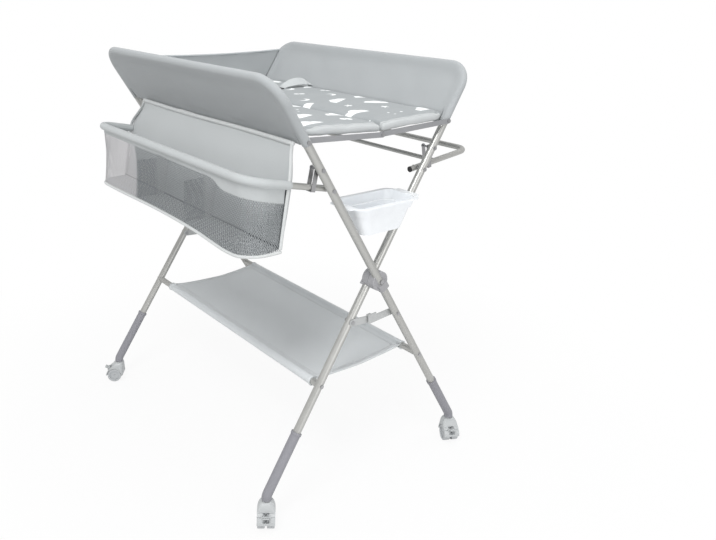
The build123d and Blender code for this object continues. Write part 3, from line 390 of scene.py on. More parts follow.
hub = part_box("hub_bolts")
HX = (hub[0][0] + hub[1][0]) / 2
HY = (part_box("leg_a_near")[0][1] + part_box("leg_b_far")[1][1]) / 2
HZ, SLOPE = 0.520, 0.643  # the hub's height; a leg's run over its rise
SIN, COS = math.sin(math.atan(SLOPE)), math.cos(math.atan(SLOPE))
HALF_LENGTH, STEP = 0.3855, 0.014  # frame B stands a step nearer than frame A
SIDES = {"a": 1, "b": -1}
RAIL_Z, HOOP_TOP, GUARD_LOW_Z, SHELF_Z, ARM_PIVOT_Z = 0.872, 1.0, 0.886, 0.291, 0.760


def leg_y(side, end):
    """Middle of a leg along the table: side 1 or -1 for frame A or B, end -1 near and 1 far."""
    return end * HALF_LENGTH + side * STEP


def stack(*parts):
    """Arrays that fit together, as one array with a last axis for the parts."""
    return np.stack(np.broadcast_arrays(*parts), -1)


def frame_points(side, s, y, out):
    """Points s up a frame from the hub line, at y, and out of its plane."""
    return stack(HX + side * (s * SIN + out * COS), HY + y, HZ + s * COS - out * SIN)


def leg_x(z):
    """Distance of a leg's centre line from the middle plane at height z."""
    return abs(z - HZ) * SLOPE


# Meshes from grids

def add_uv(mesh, name, values):
    """UV map from one pair of values for each vertex."""
    layer = mesh.uv_layers.new(name=name)
    index = np.empty(len(mesh.loops), int)
    mesh.loops.foreach_get("vertex_index", index)
    layer.data.foreach_set("uv", np.asarray(values, float)[index].ravel())


def grid_faces(rows, cols, start=0, flip=False, close=False):
    """Quads of a grid of rows by cols vertices, joined round its columns where close is true."""
    r = np.arange(rows - 1)[:, None]
    c = np.arange(cols if close else cols - 1)[None, :]
    nxt = (c + 1) % cols
    quad = stack(r * cols + c, r * cols + nxt, (r + 1) * cols + nxt, (r + 1) * cols + c)
    quad = quad.reshape(-1, 4) + start
    return quad[:, ::-1] if flip else quad


def build(name, points, faces, finish, uvs=None, smooth=True, weld=0.00001):
    """Object from arrays of points and faces, welded, with its faces pointing outwards."""
    mesh = bpy.data.meshes.new(name)
    mesh.from_pydata(np.asarray(points).reshape(-1, 3).tolist(), [], [list(f) for f in faces])
    for key, values in (uvs or {}).items():
        add_uv(mesh, key, np.asarray(values).reshape(-1, 2))
    bm = bmesh.new()
    bm.from_mesh(mesh)
    bmesh.ops.remove_doubles(bm, verts=bm.verts, dist=weld)
    bmesh.ops.recalc_face_normals(bm, faces=bm.faces)
    bm.to_mesh(mesh)
    bm.free()
    if smooth:
        mesh.shade_smooth()
    obj = bpy.data.objects.new(name, mesh)
    bpy.context.scene.collection.objects.link(obj)
    mesh.materials.append(finish.material)
    return obj


def slab(name, front, back, finish, cloth, seam=None):
    """Closed piece between two grids of one shape: a front, a back and the strips round the edge."""
    rows, cols = front.shape[:2]
    points = np.concatenate([front.reshape(-1, 3), back.reshape(-1, 3)])
    count = rows * cols
    faces = [grid_faces(rows, cols), grid_faces(rows, cols, count, True)]
    index = np.arange(count).reshape(rows, cols)
    rim = np.concatenate([index[0, :-1], index[:-1, -1], index[-1, :0:-1], index[:0:-1, 0]])
    nxt = np.roll(rim, -1)
    faces.append(stack(nxt, rim, rim + count, nxt + count))
    seam = cloth * 0 + 1.0 if seam is None else seam
    uvs = {key: np.concatenate([value.reshape(-1, 2)] * 2)
           for key, value in (("cloth", cloth), ("seam", seam))}
    return build(name, points, np.concatenate(faces), finish, uvs)


def tube(name, path, radius, finish, sides=16, flat=1.0, up=(0, 0, 1)):
    """Tube: a circle carried along a path of points, shrinking as a half circle at both ends.

    Its circle is squeezed along up by flat.
    """
    path = np.asarray(path, float)
    along = np.gradient(path, axis=0)
    along /= np.linalg.norm(along, axis=1, keepdims=True)
    side = np.cross(along, up)
    side /= np.linalg.norm(side, axis=1, keepdims=True)
    lift = np.cross(side, along)
    ends = 4
    turn = np.linspace(0, math.pi / 2, ends + 1)
    cap, reach = np.sin(turn[:-1]) * 0.999 + 0.001, np.cos(turn[:-1])
    size = np.concatenate([cap, np.ones(len(path)), cap[::-1]])
    shift = np.concatenate([-reach, np.zeros(len(path)), reach[::-1]])
    pick = np.concatenate([np.zeros(ends, int), np.arange(len(path)), np.full(ends, len(path) - 1)])
    centre = path[pick] + along[pick] * (shift * radius * flat)[:, None]
    angle = np.linspace(0, 2 * math.pi, sides, endpoint=False)
    ring = (side[pick][:, None] * np.cos(angle)[None, :, None]
            + lift[pick][:, None] * (np.sin(angle) * flat)[None, :, None])
    points = centre[:, None] + ring * (radius * size)[:, None, None]
    rows = len(pick)
    faces = [list(q) for q in grid_faces(rows, sides, close=True)]
    faces += [list(range(sides))[::-1], [(rows - 1) * sides + i for i in range(sides)]]
    cloth = stack(run_lengths(centre)[:, None], angle * radius)
    return build(name, points, faces, finish, {"cloth": cloth, "seam": cloth * 0 + 1}, weld=1e-7)


WRINKLE = ((31.0, 17.0, 0.4), (-47.0, 39.0, 1.9), (83.0, -29.0, 3.1), (12.0, 96.0, 4.4))


def wave(a, b):
    """Gentle unevenness of cloth: a sum of sines over two directions in metres, from -1 to 1."""
    total = 0.0
    for k, (fa, fb, phase) in enumerate(WRINKLE):
        total = total + np.sin(a * fa + b * fb + phase) / (k + 1)
    return total / sum(1 / (k + 1) for k in range(len(WRINKLE)))


def bell(distance, width):
    """1 at no distance, falling off both ways as a bell curve of the given width."""
    return np.exp(-(distance / width) ** 2)


def run_lengths(line):
    """Length along a line of points, from 0 at its first."""
    return np.concatenate([[0], np.cumsum(np.linalg.norm(np.diff(line, axis=0), axis=1))])


# Guards

HOOP_S, HOOP_BEND, COVER_R = (HOOP_TOP - HZ) / COS, 0.060, 0.0098
GUARD_LOW, GUARD_HEM, LAYERS = (GUARD_LOW_Z - HZ) / COS, 0.0235, 0.0042


def guard_cover(name):
    """Cloth pulled over a hoop: a heightfield on both sides of the frame's plane.

    Its upper edge is the hoop's outline. Its lower edge is a hem with a slit for each leg, as a
    flat-topped bell. Half thickness is the circle of the tube outside the hoop's centre line, and
    falls off as a bell from the tube's radius to that of two layers inside it, down to a thin hem.
    """
    side = SIDES[name]
    near, far = leg_y(side, -1), leg_y(side, 1)
    middle, half, hem_t = (near + far) / 2, (far - near) / 2, 0.0015
    slit_in, slit_wide, slit_top = 0.0118, 0.0028, 0.0125
    q = np.linspace(0, math.pi, 190)
    y = middle - np.cos(q) * (half + COVER_R)
    corner = HOOP_BEND + COVER_R
    over = np.clip(np.abs(y - middle) - (half - HOOP_BEND), 0, corner)
    top = HOOP_S - HOOP_BEND + np.sqrt(np.maximum(corner ** 2 - over ** 2, 0))
    inner = np.abs(np.abs(y - middle) - half)
    slit = np.exp(-(((np.abs(y - middle) - (half - slit_in)) / slit_wide) ** 4))
    low = GUARD_LOW - GUARD_HEM + (GUARD_HEM + slit_top) * slit + 0.0016 * np.sin(y * 19.0) * (inner > 0.02)
    t = np.sin(np.linspace(0, math.pi / 2, 52))[:, None]
    s = low + t * (top - low)
    qy, qs = np.abs(y - middle) - (half - HOOP_BEND), s - (HOOP_S - HOOP_BEND)
    out = np.hypot(np.maximum(qy, 0), np.maximum(qs, 0)) + np.minimum(np.maximum(qy, qs), 0) - HOOP_BEND
    tube_part = np.sqrt(np.maximum(COVER_R ** 2 - np.maximum(out, 0) ** 2, 0))
    sheet_part = LAYERS + (COVER_R - LAYERS) * bell(out, 0.020)
    half_t = np.where(out > 0, tube_part, sheet_part)
    inside = np.clip(-out / 0.05, 0, 1)
    below = np.clip((GUARD_LOW + 0.004 - s) / 0.006, 0, 1) * inside
    half_t = half_t - (half_t - hem_t) * below
    drift = 0.0013 * wave(y, s) * inside * (1 - below) + 0.0022 * below
    sides = [frame_points(side, s, y, way * half_t + drift) for way in (1, -1)]
    cover = slab("guard_cover_" + name, *sides, guard_cloth, stack(y, s))
    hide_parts("guard_panel_" + name)
    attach(cover, "frame_" + name)
    far - near + 0.02


for key in SIDES:
    guard_cover(key)


# Folding top

RAIL_X, DIP = leg_x(RAIL_Z), 0.010
SPAN, TILT = math.hypot(RAIL_X, DIP), math.atan2(DIP, RAIL_X)
PAD_START, PAD_END = RAIL_X - 0.226, SPAN - 0.0004
PAD_LOW, PAD_THICK, PAD_CROWN, PAD_CORNER = 0.0063, 0.0160, 0.0040, 0.046


def rail_points(side, u, v, y):
    """Points u along a top rail from its pivot, v above its centre line."""
    x = side * (RAIL_X - u * math.cos(TILT) + v * math.sin(TILT))
    return stack(HX + x, HY + y, RAIL_Z - u * math.sin(TILT) + v * math.cos(TILT))


def crown_height(u):
    """Height of the pad's top over a rail: a parabola across it, flatter towards the middle line."""
    share = (2 * u - PAD_START - PAD_END) / (PAD_END - PAD_START)
    return PAD_LOW + PAD_THICK + PAD_CROWN * (1 - share ** 2 * np.where(share > 0, 0.45, 1.0))


def pad_outline():
    """Outline of a pad half as points and outward directions: four quarter circles and their runs."""
    corner, small, turn = PAD_CORNER, 0.004, np.linspace(0, math.pi / 2, 15)
    a, b, half, arcs = PAD_START, PAD_END, PAD_HALF, []
    for cu, cv, radius, start, steps in ((b - small, half - small, small, 0.0, 34),
                                         (a + corner, half - corner, corner, 0.5, 90),
                                         (a + corner, -half + corner, corner, 1.0, 34),
                                         (b - small, -half + small, small, 1.5, 100)):
        way = stack(np.cos(start * math.pi + turn), np.sin(start * math.pi + turn))
        arcs.append((np.array([cu, cv]) + radius * way, way, steps))
    line, out = [], []
    for i, (arc, way, steps) in enumerate(arcs):
        k = np.linspace(0, 1, steps)[1:-1, None]
        after = arcs[(i + 1) % len(arcs)][0]
        line += [arc, arc[-1] + (after[0] - arc[-1]) * k]
        out += [way, np.repeat(way[-1:], steps - 2, axis=0)]
    return np.concatenate(line), np.concatenate(out)


def new_mesh(obj):
    """Give an object the mesh that its modifiers make, and take them off."""
    depsgraph = bpy.context.evaluated_depsgraph_get()
    mesh = bpy.data.meshes.new_from_object(obj.evaluated_get(depsgraph))
    obj.modifiers.clear()
    obj.data = mesh


def vertices(mesh):
    """Places of a mesh's vertices, one row each."""
    points = np.empty(3 * len(mesh.vertices))
    mesh.vertices.foreach_get("co", points)
    return points.reshape(-1, 3)


def inflate(obj, cap, finish):
    """Cloth simulation of a cover blown up by its filling; no point moves further than cap."""
    voxels = obj.modifiers.new("voxels", "REMESH")
    voxels.mode, voxels.voxel_size = "VOXEL", 0.005
    new_mesh(obj)
    start = vertices(obj.data)
    cloth = obj.modifiers.new("cloth", "CLOTH")
    cloth.settings.quality = 5
    cloth.settings.use_pressure = True
    cloth.settings.uniform_pressure_force = 4.0
    cloth.settings.effector_weights.gravity = 0.0
    cloth.collision_settings.use_collision = False
    for number in range(1, 21):
        bpy.context.scene.frame_set(number)
    new_mesh(obj)
    move = vertices(obj.data) - start
    size = np.linalg.norm(move, axis=1, keepdims=True)
    start += move * np.minimum(1.0, cap / np.maximum(size, 1e-9))
    obj.data.vertices.foreach_set("co", start.ravel())
    bpy.context.scene.frame_set(1)
    obj.modifiers.new("smooth", "SUBSURF").levels = 1
    new_mesh(obj)
    obj.data.materials.clear()
    obj.data.materials.append(finish.material)


def to_rail(side, points):
    """Rail coordinates u, v and y of points, the inverse of rail_points."""
    a, b = RAIL_X - side * (points[:, 0] - HX), points[:, 2] - RAIL_Z
    c, s = math.cos(TILT), math.sin(TILT)
    return (a * c + b * s) / (c * c - s * s), (a * s + b * c) / (c * c - s * s), points[:, 1] - HY


def swell(pad, side):
    """Pad half blown up from a smaller shape, laid on its rails and stitched round its edge.

    The stitched valley is a bell of depth over the distance inwards from the outline, which is
    that of a rectangle with round outer corners and no edge at the fold line.
    """
    less, thinner, cap = 0.003, 0.88, 0.0050
    u, v, y = to_rail(side, vertices(pad.data))
    u = PAD_START + less + (u - PAD_START) * (1 - less / (PAD_END - PAD_START))
    v = PAD_LOW + (v - PAD_LOW) * thinner
    y = y * (1 - less / PAD_HALF)
    pad.data.vertices.foreach_set("co", rail_points(side, u, v, y).ravel())
    inflate(pad, cap, pad_cloth)
    u, v, y = to_rail(side, vertices(pad.data))
    a, b = PAD_START + PAD_CORNER - u, np.abs(y) - PAD_HALF + PAD_CORNER
    depth = PAD_CORNER - np.hypot(np.maximum(a, 0), np.maximum(b, 0)) - np.minimum(np.maximum(a, b), 0)
    on_top = v > PAD_LOW + 0.7 * PAD_THICK
    v = v - 0.0020 * bell(depth - PAD_STITCH, 0.0030) * on_top
    v = np.clip(v + 0.0006 * wave(u, y) * on_top, PAD_LOW, PAD_LOW + PAD_THICK + PAD_CROWN + 0.0030)
    u = np.clip(u, PAD_START + 0.0002, PAD_END)
    pad.data.vertices.foreach_set("co", rail_points(side, u, v, y).ravel())
    add_uv(pad.data, "cloth", stack(u * side, y))
    add_uv(pad.data, "seam", stack(depth * on_top, u + y))
    pad.data.shade_smooth()


def press_flat(piece, side):
    """Give a soft piece its own copy of its mesh.

    The foot below the pad half's outer edge and the crown at the middle line are worked out, but
    nothing is pressed or flattened.
    """
    foot = rail_points(side, PAD_START, -0.006, 0.0)
    crown = rail_points(side, PAD_END, PAD_LOW + PAD_THICK, 0.0)
    tuple(float(c) for c in foot)
    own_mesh(piece)


def pad_half(name, side):
    """Padded half of the top, as rings of its outline drawn inwards.

    The rings stay together at the fold line. They climb a rounded lower edge, an upright side
    and a quarter-circle upper edge, cross a shallow stitched valley and follow the crown to the
    middle line. This form is then blown up.
    """
    edge, steps = 0.0062, np.linspace(0, math.pi / 2, 7)
    line, out = pad_outline()
    rings = [(edge + 0.018, 0.0, 0.0), (edge, 0.0, 0.0)]
    rings += [(edge * (1 - math.sin(k)), 0.0, 0.35 * edge * (1 - math.cos(k))) for k in steps[1:]]
    rings += [(-0.0003, share, 0.0) for share in (0.32, 0.5, 0.62)]
    rings += [(edge * (1 - math.cos(k)), 1.0, -edge * (1 - math.sin(k))) for k in steps]
    rings += [(d, 1.0, -0.0016 * math.exp(-((d - PAD_STITCH) / 0.0024) ** 2))
              for d in (0.009, 0.0125, 0.015, 0.017, 0.019, 0.0215, 0.026, 0.032)]
    spine = stack((PAD_START + PAD_END) / 2, np.clip(line[:, 1], -PAD_HALF + 0.10, PAD_HALF - 0.10))
    rows, free = [], 1 - np.clip(out[:, 0], 0, 1) ** 2
    for inset, share, rise in rings:
        place = line - out * (inset * free)[:, None]
        height = PAD_LOW + share * (crown_height(place[:, 0]) - PAD_LOW) + rise * free
        rows.append((place, height, inset if share == 1.0 else 0.0))
    inner = rows[-1][0]
    for k in np.linspace(0, 1, 18)[1:]:
        place = inner + (spine - inner) * k
        uneven = 0.0010 * wave(place[:, 0], place[:, 1]) * min(1.0, 4 * k)
        rows.append((place, crown_height(place[:, 0]) + uneven, 0.04))
    rows.insert(0, (spine, np.full(len(line), PAD_LOW), 0.0))
    points = np.concatenate([rail_points(side, p[:, 0], h, p[:, 1]) for p, h, d in rows])
    cloth = np.concatenate([stack(p[:, 0] * side, p[:, 1]) for p, h, d in rows])
    seam = np.concatenate([stack(d, p[:, 0] + p[:, 1]) for p, h, d in rows])
    pad = build(name + "_cover", points, grid_faces(len(rows), len(line), close=True), pad_cloth,
                {"cloth": cloth, "seam": seam}, weld=0.0002)
    swell(pad, side)
    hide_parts(name)
    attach(pad, "top_right" if side > 0 else "top_left")
    press_flat(pad, side)


pad_half("pad_right", 1)
pad_half("pad_left", -1)


# Belt

BELT_Y, BELT_HALF, BELT_T = 0.140, 0.0125, 0.0016


def belt(name, body, side, reaches, arch):
    """Webbing over the pad, as a ribbon that arches between its ends and tilts where it is highest.

    The arch is a sine over the length, with its top moved past the middle and its flanks made
    steep by a power. The tilt grows with the arch and across the width.
    """
    clear, lean, steep, tilt_rate = 0.0014, 1.3, 0.45, 42
    k = np.linspace(0, 1, 40)
    reach = reaches[0] + (reaches[1] - reaches[0]) * k
    u = SPAN - reach
    lift = np.sin(math.pi * k ** lean) ** steep
    base = crown_height(u) + clear + arch * lift
    w = np.array([-1, -0.94, -0.5, 0, 0.5, 0.94, 1])[None] * BELT_HALF
    thin = BELT_T * np.array([0.5, 1, 1, 1, 1, 1, 0.5])[None]
    yy = BELT_Y + w
    tilt = tilt_rate * arch * w * lift[:, None]
    top = rail_points(side, u[:, None], base[:, None] + thin + tilt, yy)
    low = rail_points(side, u[:, None], base[:, None] + BELT_T - thin + tilt, yy)
    strap = slab(name + "_webbing", top, low, webbing, stack(reach[:, None], w))
    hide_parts(name)
    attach(strap, body)
    press_flat(strap, side)


# Head wall

def head_wall():
    """Cloth wall between the guards: straight lines from the pad up to a top edge with a bound rim.

    The top edge sags as a parabola. The cloth is bellied by sines and thickens at its hem as a bell.
    """
    wall_top, wall_low, sag, clear, height = 0.982, 0.895, 0.008, 0.0014, 0.09
    y_a, y_b = leg_y(1, 1) - 0.009, leg_y(-1, 1) - 0.006
    c = np.linspace(-1, 1, 90)
    r = np.linspace(0, 1, 26)[:, None]
    top_half, low_half = (leg_x(z) - 0.0096 / COS - 0.0003 for z in (wall_top, wall_low))
    half = low_half + (top_half - low_half) * r
    x = half * c
    z_top = wall_top - sag * (1 - c ** 2)
    reach = np.abs(x[0])
    z_low = RAIL_Z - DIP + reach * math.tan(TILT) + crown_height(SPAN - reach) * math.cos(TILT) + clear
    z = z_low + (z_top - z_low) * r
    y = (y_a + y_b) / 2 + (y_a - y_b) / 2 * x / top_half
    belly = 0.0035 * np.sin(math.pi * r) * (1 - c ** 2) + 0.0012 * wave(x * 1.4, z) * (1 - c ** 8)
    half_t = np.full_like(x, 0.0013) + 0.0011 * bell((1 - r) * height, 0.006)
    front, back = (stack(HX + x, HY + y + way * half_t + belly, z) for way in (-1, 1))
    wall = slab("head_wall_cloth", front, back, guard_cloth, stack(x, z))
    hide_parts("head_wall")
    rim_path = stack(HX + x[-1], HY + y[-1], z[-1] - 0.0008)
    rim = tube("head_wall_binding", rim_path, 0.0030, wall_binding, 12)
    for piece in (wall, rim):
        HX - top_half
        HY + y_b
        HX + top_half
        HY + y_a
        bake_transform(piece)
    2 * top_half


head_wall()


# Shelf

def shelf():
    """Cloth slung between the shelf rails: a section line carried along the table.

    The line is a circle round each rail and a parabola between them. Its middle dips as a sine
    over the length, its ends bow, and it thickens at both end hems as a bell.
    """
    rail, leg_r, sag, hem_t = 0.008, 0.0095, 0.0095, 0.0016
    x0, z0, hem = leg_x(SHELF_Z), SHELF_Z, rail + 0.0012
    near, far = leg_y(1, -1) + leg_r + 0.014, leg_y(-1, 1) - leg_r - 0.038
    k = np.linspace(-1, 1, 46)
    mid = stack(k * (x0 - hem * 0.86), z0 + 0.004 - sag * (1 - k ** 2))
    a = np.concatenate([np.linspace(math.radians(205), math.radians(320), 12)[:0:-1],
                        np.linspace(math.radians(205), math.radians(28), 24)])
    left = stack(-x0 + hem * np.cos(a), z0 + hem * np.sin(a))
    line = np.concatenate([left, mid[2:-2], left[::-1] * (-1, 1)])
    run = run_lengths(line)
    step = np.gradient(line, axis=0)
    normal = stack(-step[:, 1], step[:, 0])
    normal /= np.linalg.norm(normal, axis=1, keepdims=True)
    t = np.linspace(0, 1, 100)[:, None]
    y = near + (far - near) * t
    flat = np.clip(1 - (np.abs(line[:, 0]) / (x0 - 0.02)) ** 6, 0, 1)
    dip = flat * (0.0035 * np.sin(math.pi * t) + 0.0012 * wave(line[:, 0], y))
    edge = sum(hem_t * bell(share * (far - near), 0.006) for share in (t, 1 - t))
    thick = 0.0008 + edge
    bow = 0.003 * flat * np.sin(math.pi * np.clip((line[:, 0] + x0) / (2 * x0), 0, 1))
    yy = y + bow * (1 - 2 * t) ** 5
    px, pz = line[:, 0], line[:, 1] - dip
    top, low_side = (stack(HX + px + way * normal[:, 0] * thick, HY + yy,
                           pz + way * normal[:, 1] * thick) for way in (1, -1))
    d = np.minimum(np.abs(yy - near), np.abs(far - yy))
    d = np.minimum(d, np.maximum(x0 - rail - np.abs(px), 0.0))
    piece = slab("shelf_sling", top, low_side, shelf_cloth, stack(run, yy), stack(d, run + yy))
    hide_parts("shelf_cloth")
    HX - x0 + 0.012
    HX + x0 - 0.012
    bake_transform(piece)
    far - near


shelf()


# Basket

B_NEAR, B_FAR = leg_y(-1, -1) + 0.020, leg_y(-1, 1) - 0.020
B_OUT, B_BEND = 0.350, 0.052
B_LOW, B_TOP_Z, B_TOP_X, B_FOOT_X = 0.648, 0.866, 0.240, 0.271
B_TILT, NET_T = math.radians(12.0), 0.0003


def basket_points(x, y, z):
    """Points at a distance x from the middle on the basket's side, from arrays that fit together."""
    return stack(HX - x, HY + y, z)


def arm_z(x):
    """Height of the basket loop's centre line at a distance from the middle."""
    return ARM_PIVOT_Z + (x - leg_x(ARM_PIVOT_Z)) * math.tan(B_TILT)


def back_x(z):
    """Distance of the sloping back wall from the middle at height z."""
    return B_TOP_X + (B_TOP_Z - z) / (B_TOP_Z - B_LOW) * (B_FOOT_X - B_TOP_X)


def u_line(start_x):
    """U-shaped line round the basket from near to far, as its distance from the middle and y."""
    inner, near, far = B_OUT - B_BEND, B_NEAR + B_BEND, B_FAR - B_BEND
    a = np.linspace(0, math.pi / 2, 14)
    return np.concatenate([
        stack(np.linspace(start_x, inner, 36), B_NEAR)[:-1],
        stack(inner + B_BEND * np.sin(a), near - B_BEND * np.cos(a)),
        stack(B_OUT, np.linspace(near, far, 90))[1:-1],
        stack(inner + B_BEND * np.cos(a), far + B_BEND * np.sin(a)),
        stack(np.linspace(inner, start_x, 36), B_FAR)[1:]])


def bottom_dip(y):
    """Sag of the basket's lower edge: a bell near the open end, where it is loose, and a slow sine."""
    k = (y - B_NEAR) / (B_FAR - B_NEAR)
    return 0.010 * bell(k - 0.10, 0.13) + 0.002 * np.sin(k * 9.0)


def band_depth(line):
    """Depth of the cloth band below the loop, stepping down past the near corner as an S-curve."""
    k = (line[:, 1] - B_NEAR) / (B_FAR - B_NEAR)
    return 0.013 + 0.021 * (1 - 1 / (1 + np.exp(-(k - 0.17) / 0.012)))


def basket():
    """Tub of cloth and net under the loop: the U-shaped line at each height, drawn in as a sine.

    The floor spans from the back wall to the line's lower run and sags as a product of two sines.
    """
    line = u_line(back_x(0.72) + 0.001)
    length = run_lengths(line)
    top = arm_z(line[:, 0]) - 0.0075
    low = B_LOW - bottom_dip(line[:, 1])
    edge = top - band_depth(line)

    def wall(z0, z1, rows, thick, name, finish, slot_name):
        r = np.linspace(0, 1, rows)[:, None]
        z = z0 + (z1 - z0) * r
        share = (z - low) / (top - low)
        draw = 0.0045 * np.sin(math.pi * np.clip(share, 0, 1)) + 0.0012 * wave(length * 0.6, z * 1.4)
        x = np.maximum(line[:, 0] - draw * (line[:, 0] > B_OUT - B_BEND), back_x(z) + 0.0006)
        at_end = np.abs(line[:, 1] - (B_NEAR + B_FAR) / 2) > (B_FAR - B_NEAR) / 2 - 0.03
        y = line[:, 1] + draw * np.where(line[:, 1] < 0, 1, -1) * at_end
        outer = basket_points(x, y, z)
        step = np.gradient(line, axis=0)
        n = stack(step[:, 1], -step[:, 0])
        n /= np.linalg.norm(n, axis=1, keepdims=True)
        shift = stack(-n[:, 0], n[:, 1], 0.0) * thick
        piece = slab(name, outer, outer - shift, finish, stack(length[-1] - length, z))
        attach(piece, "frame_b")
        return piece

    # the band strip and the rim sleeve use the darker painted-shade cloth
    band = wall(edge, top + 0.001, 12, 0.0012, "basket_band_strip", shaded_band_cloth, "fabric")
    netting = wall(low, edge + 0.002, 40, NET_T, "basket_net_wall", net, "mesh")
    loop = u_line(back_x(0.79) + 0.002)
    path = basket_points(*loop.T, arm_z(loop[:, 0]))
    sleeve = tube("basket_rim_sleeve", path, 0.0094, shaded_band_cloth, 24)
    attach(sleeve, "frame_b")
    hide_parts("basket_band")
    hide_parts("basket_mesh")

    t = np.linspace(0, 1, 70)[:, None]
    c = np.linspace(0, 1, 20)[None]
    y = B_NEAR + (B_FAR - B_NEAR) * t
    over = np.maximum(B_BEND - np.minimum(y - B_NEAR, B_FAR - y), 0)
    x_out = B_OUT - 0.001 - (B_BEND - np.sqrt(np.maximum(B_BEND ** 2 - over ** 2, 0)))
    x = B_FOOT_X + 0.001 + (x_out - B_FOOT_X - 0.001) * c
    z = B_LOW - bottom_dip(y) * c + 0.0012 - 0.003 * np.sin(math.pi * c) * np.sin(math.pi * t)
    floor_top = basket_points(x, y, z)
    base = slab("basket_net_floor", floor_top, floor_top - (0, 0, NET_T), floor_net, stack(x, y))
    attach(base, "frame_b")
    B_FAR - B_NEAR

    foot = u_line(B_FOOT_X)
    path = basket_points(*foot.T, B_LOW - 0.0015 - bottom_dip(foot[:, 1]))
    tape = tube("basket_bottom_tape", path, 0.0036, binding_cloth, 12)
    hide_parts("basket_piping")
    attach(tape, "frame_b")


def back_ends(z):
    """Near and far ends of the back wall at height z; above the rim both are drawn in as an S-curve."""
    rim = 0.785
    share = np.clip((z - rim) / (B_TOP_Z - rim), 0, 1)
    share = share * share * (3 - 2 * share)
    return B_NEAR + 0.008 * share, B_FAR - 0.062 * share


def basket_back():
    """Back wall: cloth that hangs from a bound cord and slopes out to its foot.

    It is bellied outwards as a sine over its height, and pulled in at its ends by bells.
    """
    t = np.linspace(0, 1, 90)[:, None]
    r = np.linspace(0, 1, 40)[None]
    z = B_LOW + 0.001 + (B_TOP_Z - 0.003 - B_LOW) * r
    end = np.minimum(t, 1 - t) * (B_FAR - B_NEAR)
    belly = np.sin(math.pi * r)
    x = back_x(z) - 0.001 + 0.003 * belly * (1 - bell(end, 0.08)) - 0.004 * bell(end, 0.05) * belly
    tuck = 0.0008 * wave(t * 0.7, z * 1.3)
    y_near, y_far = back_ends(z)
    y = y_near + (y_far - y_near) * t
    front = basket_points(x + tuck, y, z)
    back = slab("basket_back_wall", front, front + (0.0022, 0, 0.0004), back_cloth, stack(y, z))
    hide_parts("basket_back")
    k = np.linspace(0, 1, 120)
    y_near, y_far = back_ends(np.array(B_TOP_Z))
    path = basket_points(B_TOP_X - 0.0015, y_near + (y_far - y_near) * k,
                         B_TOP_Z - 0.001 + 0.0012 * np.sin(k * 7))
    roll = tube("basket_back_cord", path, 0.0050, binding_cloth, 16)
    zz, ends = np.linspace(B_LOW, B_TOP_Z, 50), []
    for i, place in enumerate(("near", "far")):
        line = basket_points(back_x(zz) + 0.0005, back_ends(zz)[i] + (2 * i - 1) * 0.0012, zz)
        ends.append(tube("basket_end_tape_" + place, line, 0.0042, binding_cloth, 12, flat=0.5,
                         up=(0, 1, 0)))
    for piece in (back, roll, *ends):
        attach(piece, "frame_b")
    B_FAR - B_NEAR
    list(ends)


def net_edges():
    """Dark tape along the net's upright near edge and where its floor meets the back wall."""
    clear, z = 0.003, np.linspace(B_LOW + 0.002, 0.772, 30)
    upright = basket_points(back_x(z) + clear, B_NEAR + clear, z)
    low = basket_points(B_FOOT_X + clear, np.linspace(B_NEAR + 0.002, B_FAR - 0.002, 80), B_LOW + clear)
    for name, line in (("basket_net_upright_tape", upright), ("basket_net_floor_tape", low)):
        piece = tube(name, line, 0.0016, edge_tape, 8, up=(1, 0, 0))
        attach(piece, "frame_b")


def dividers():
    """Net sheets across the basket, flat but for a slack that is a product of two sines."""
    for i, share in enumerate((0.36, 0.68)):
        y0 = B_NEAR + share * (B_FAR - B_NEAR)
        c, r = np.linspace(0, 1, 24)[:, None], np.linspace(0, 1, 30)[None]
        top = arm_z(B_FOOT_X) - 0.042
        z = B_LOW + 0.003 + (top - B_LOW) * r
        x = back_x(z) + 0.003 + (B_OUT - 0.006 - back_x(z)) * c
        y = y0 + 0.006 * np.sin(math.pi * c) * np.sin(math.pi * r * 0.9)
        front = basket_points(x, y, z)
        sheet = slab(f"basket_net_divider_{i + 1}", front, front + (0, NET_T, 0), net, stack(x, z))
        if i == 0:
            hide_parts("basket_dividers")
        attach(sheet, "frame_b")


basket()
basket_back()
net_edges()
dividers()
belt("strap_right", "buckle_plug", 1, (0.1100, 0.216), 0.0160)
belt("strap_middle", "top_right", 1, (0.0025, 0.0640), 0.0)
belt("strap_left", "top_left", -1, (0.0025, 0.212), 0.0)


# Casters: the smooth top of each hood, with its rises by the angle about the axle in degrees

HOOD_TURNS = (64, 68, 75, 83, 90, 95, 105, 118, 122, 129, 140, 150, 165, 180)
HOOD_RISES = (0.0, 0.0016, 0.0056, 0.0096, 0.0131, 0.0151, 0.0164, 0.0201, 0.0193, 0.0146, 0.0085, 0.0049,
              0.0016, 0.0002)
CASTERS = {"a_near": -127.0, "b_near": -118.0, "a_far": 143.0, "b_far": 60.0}


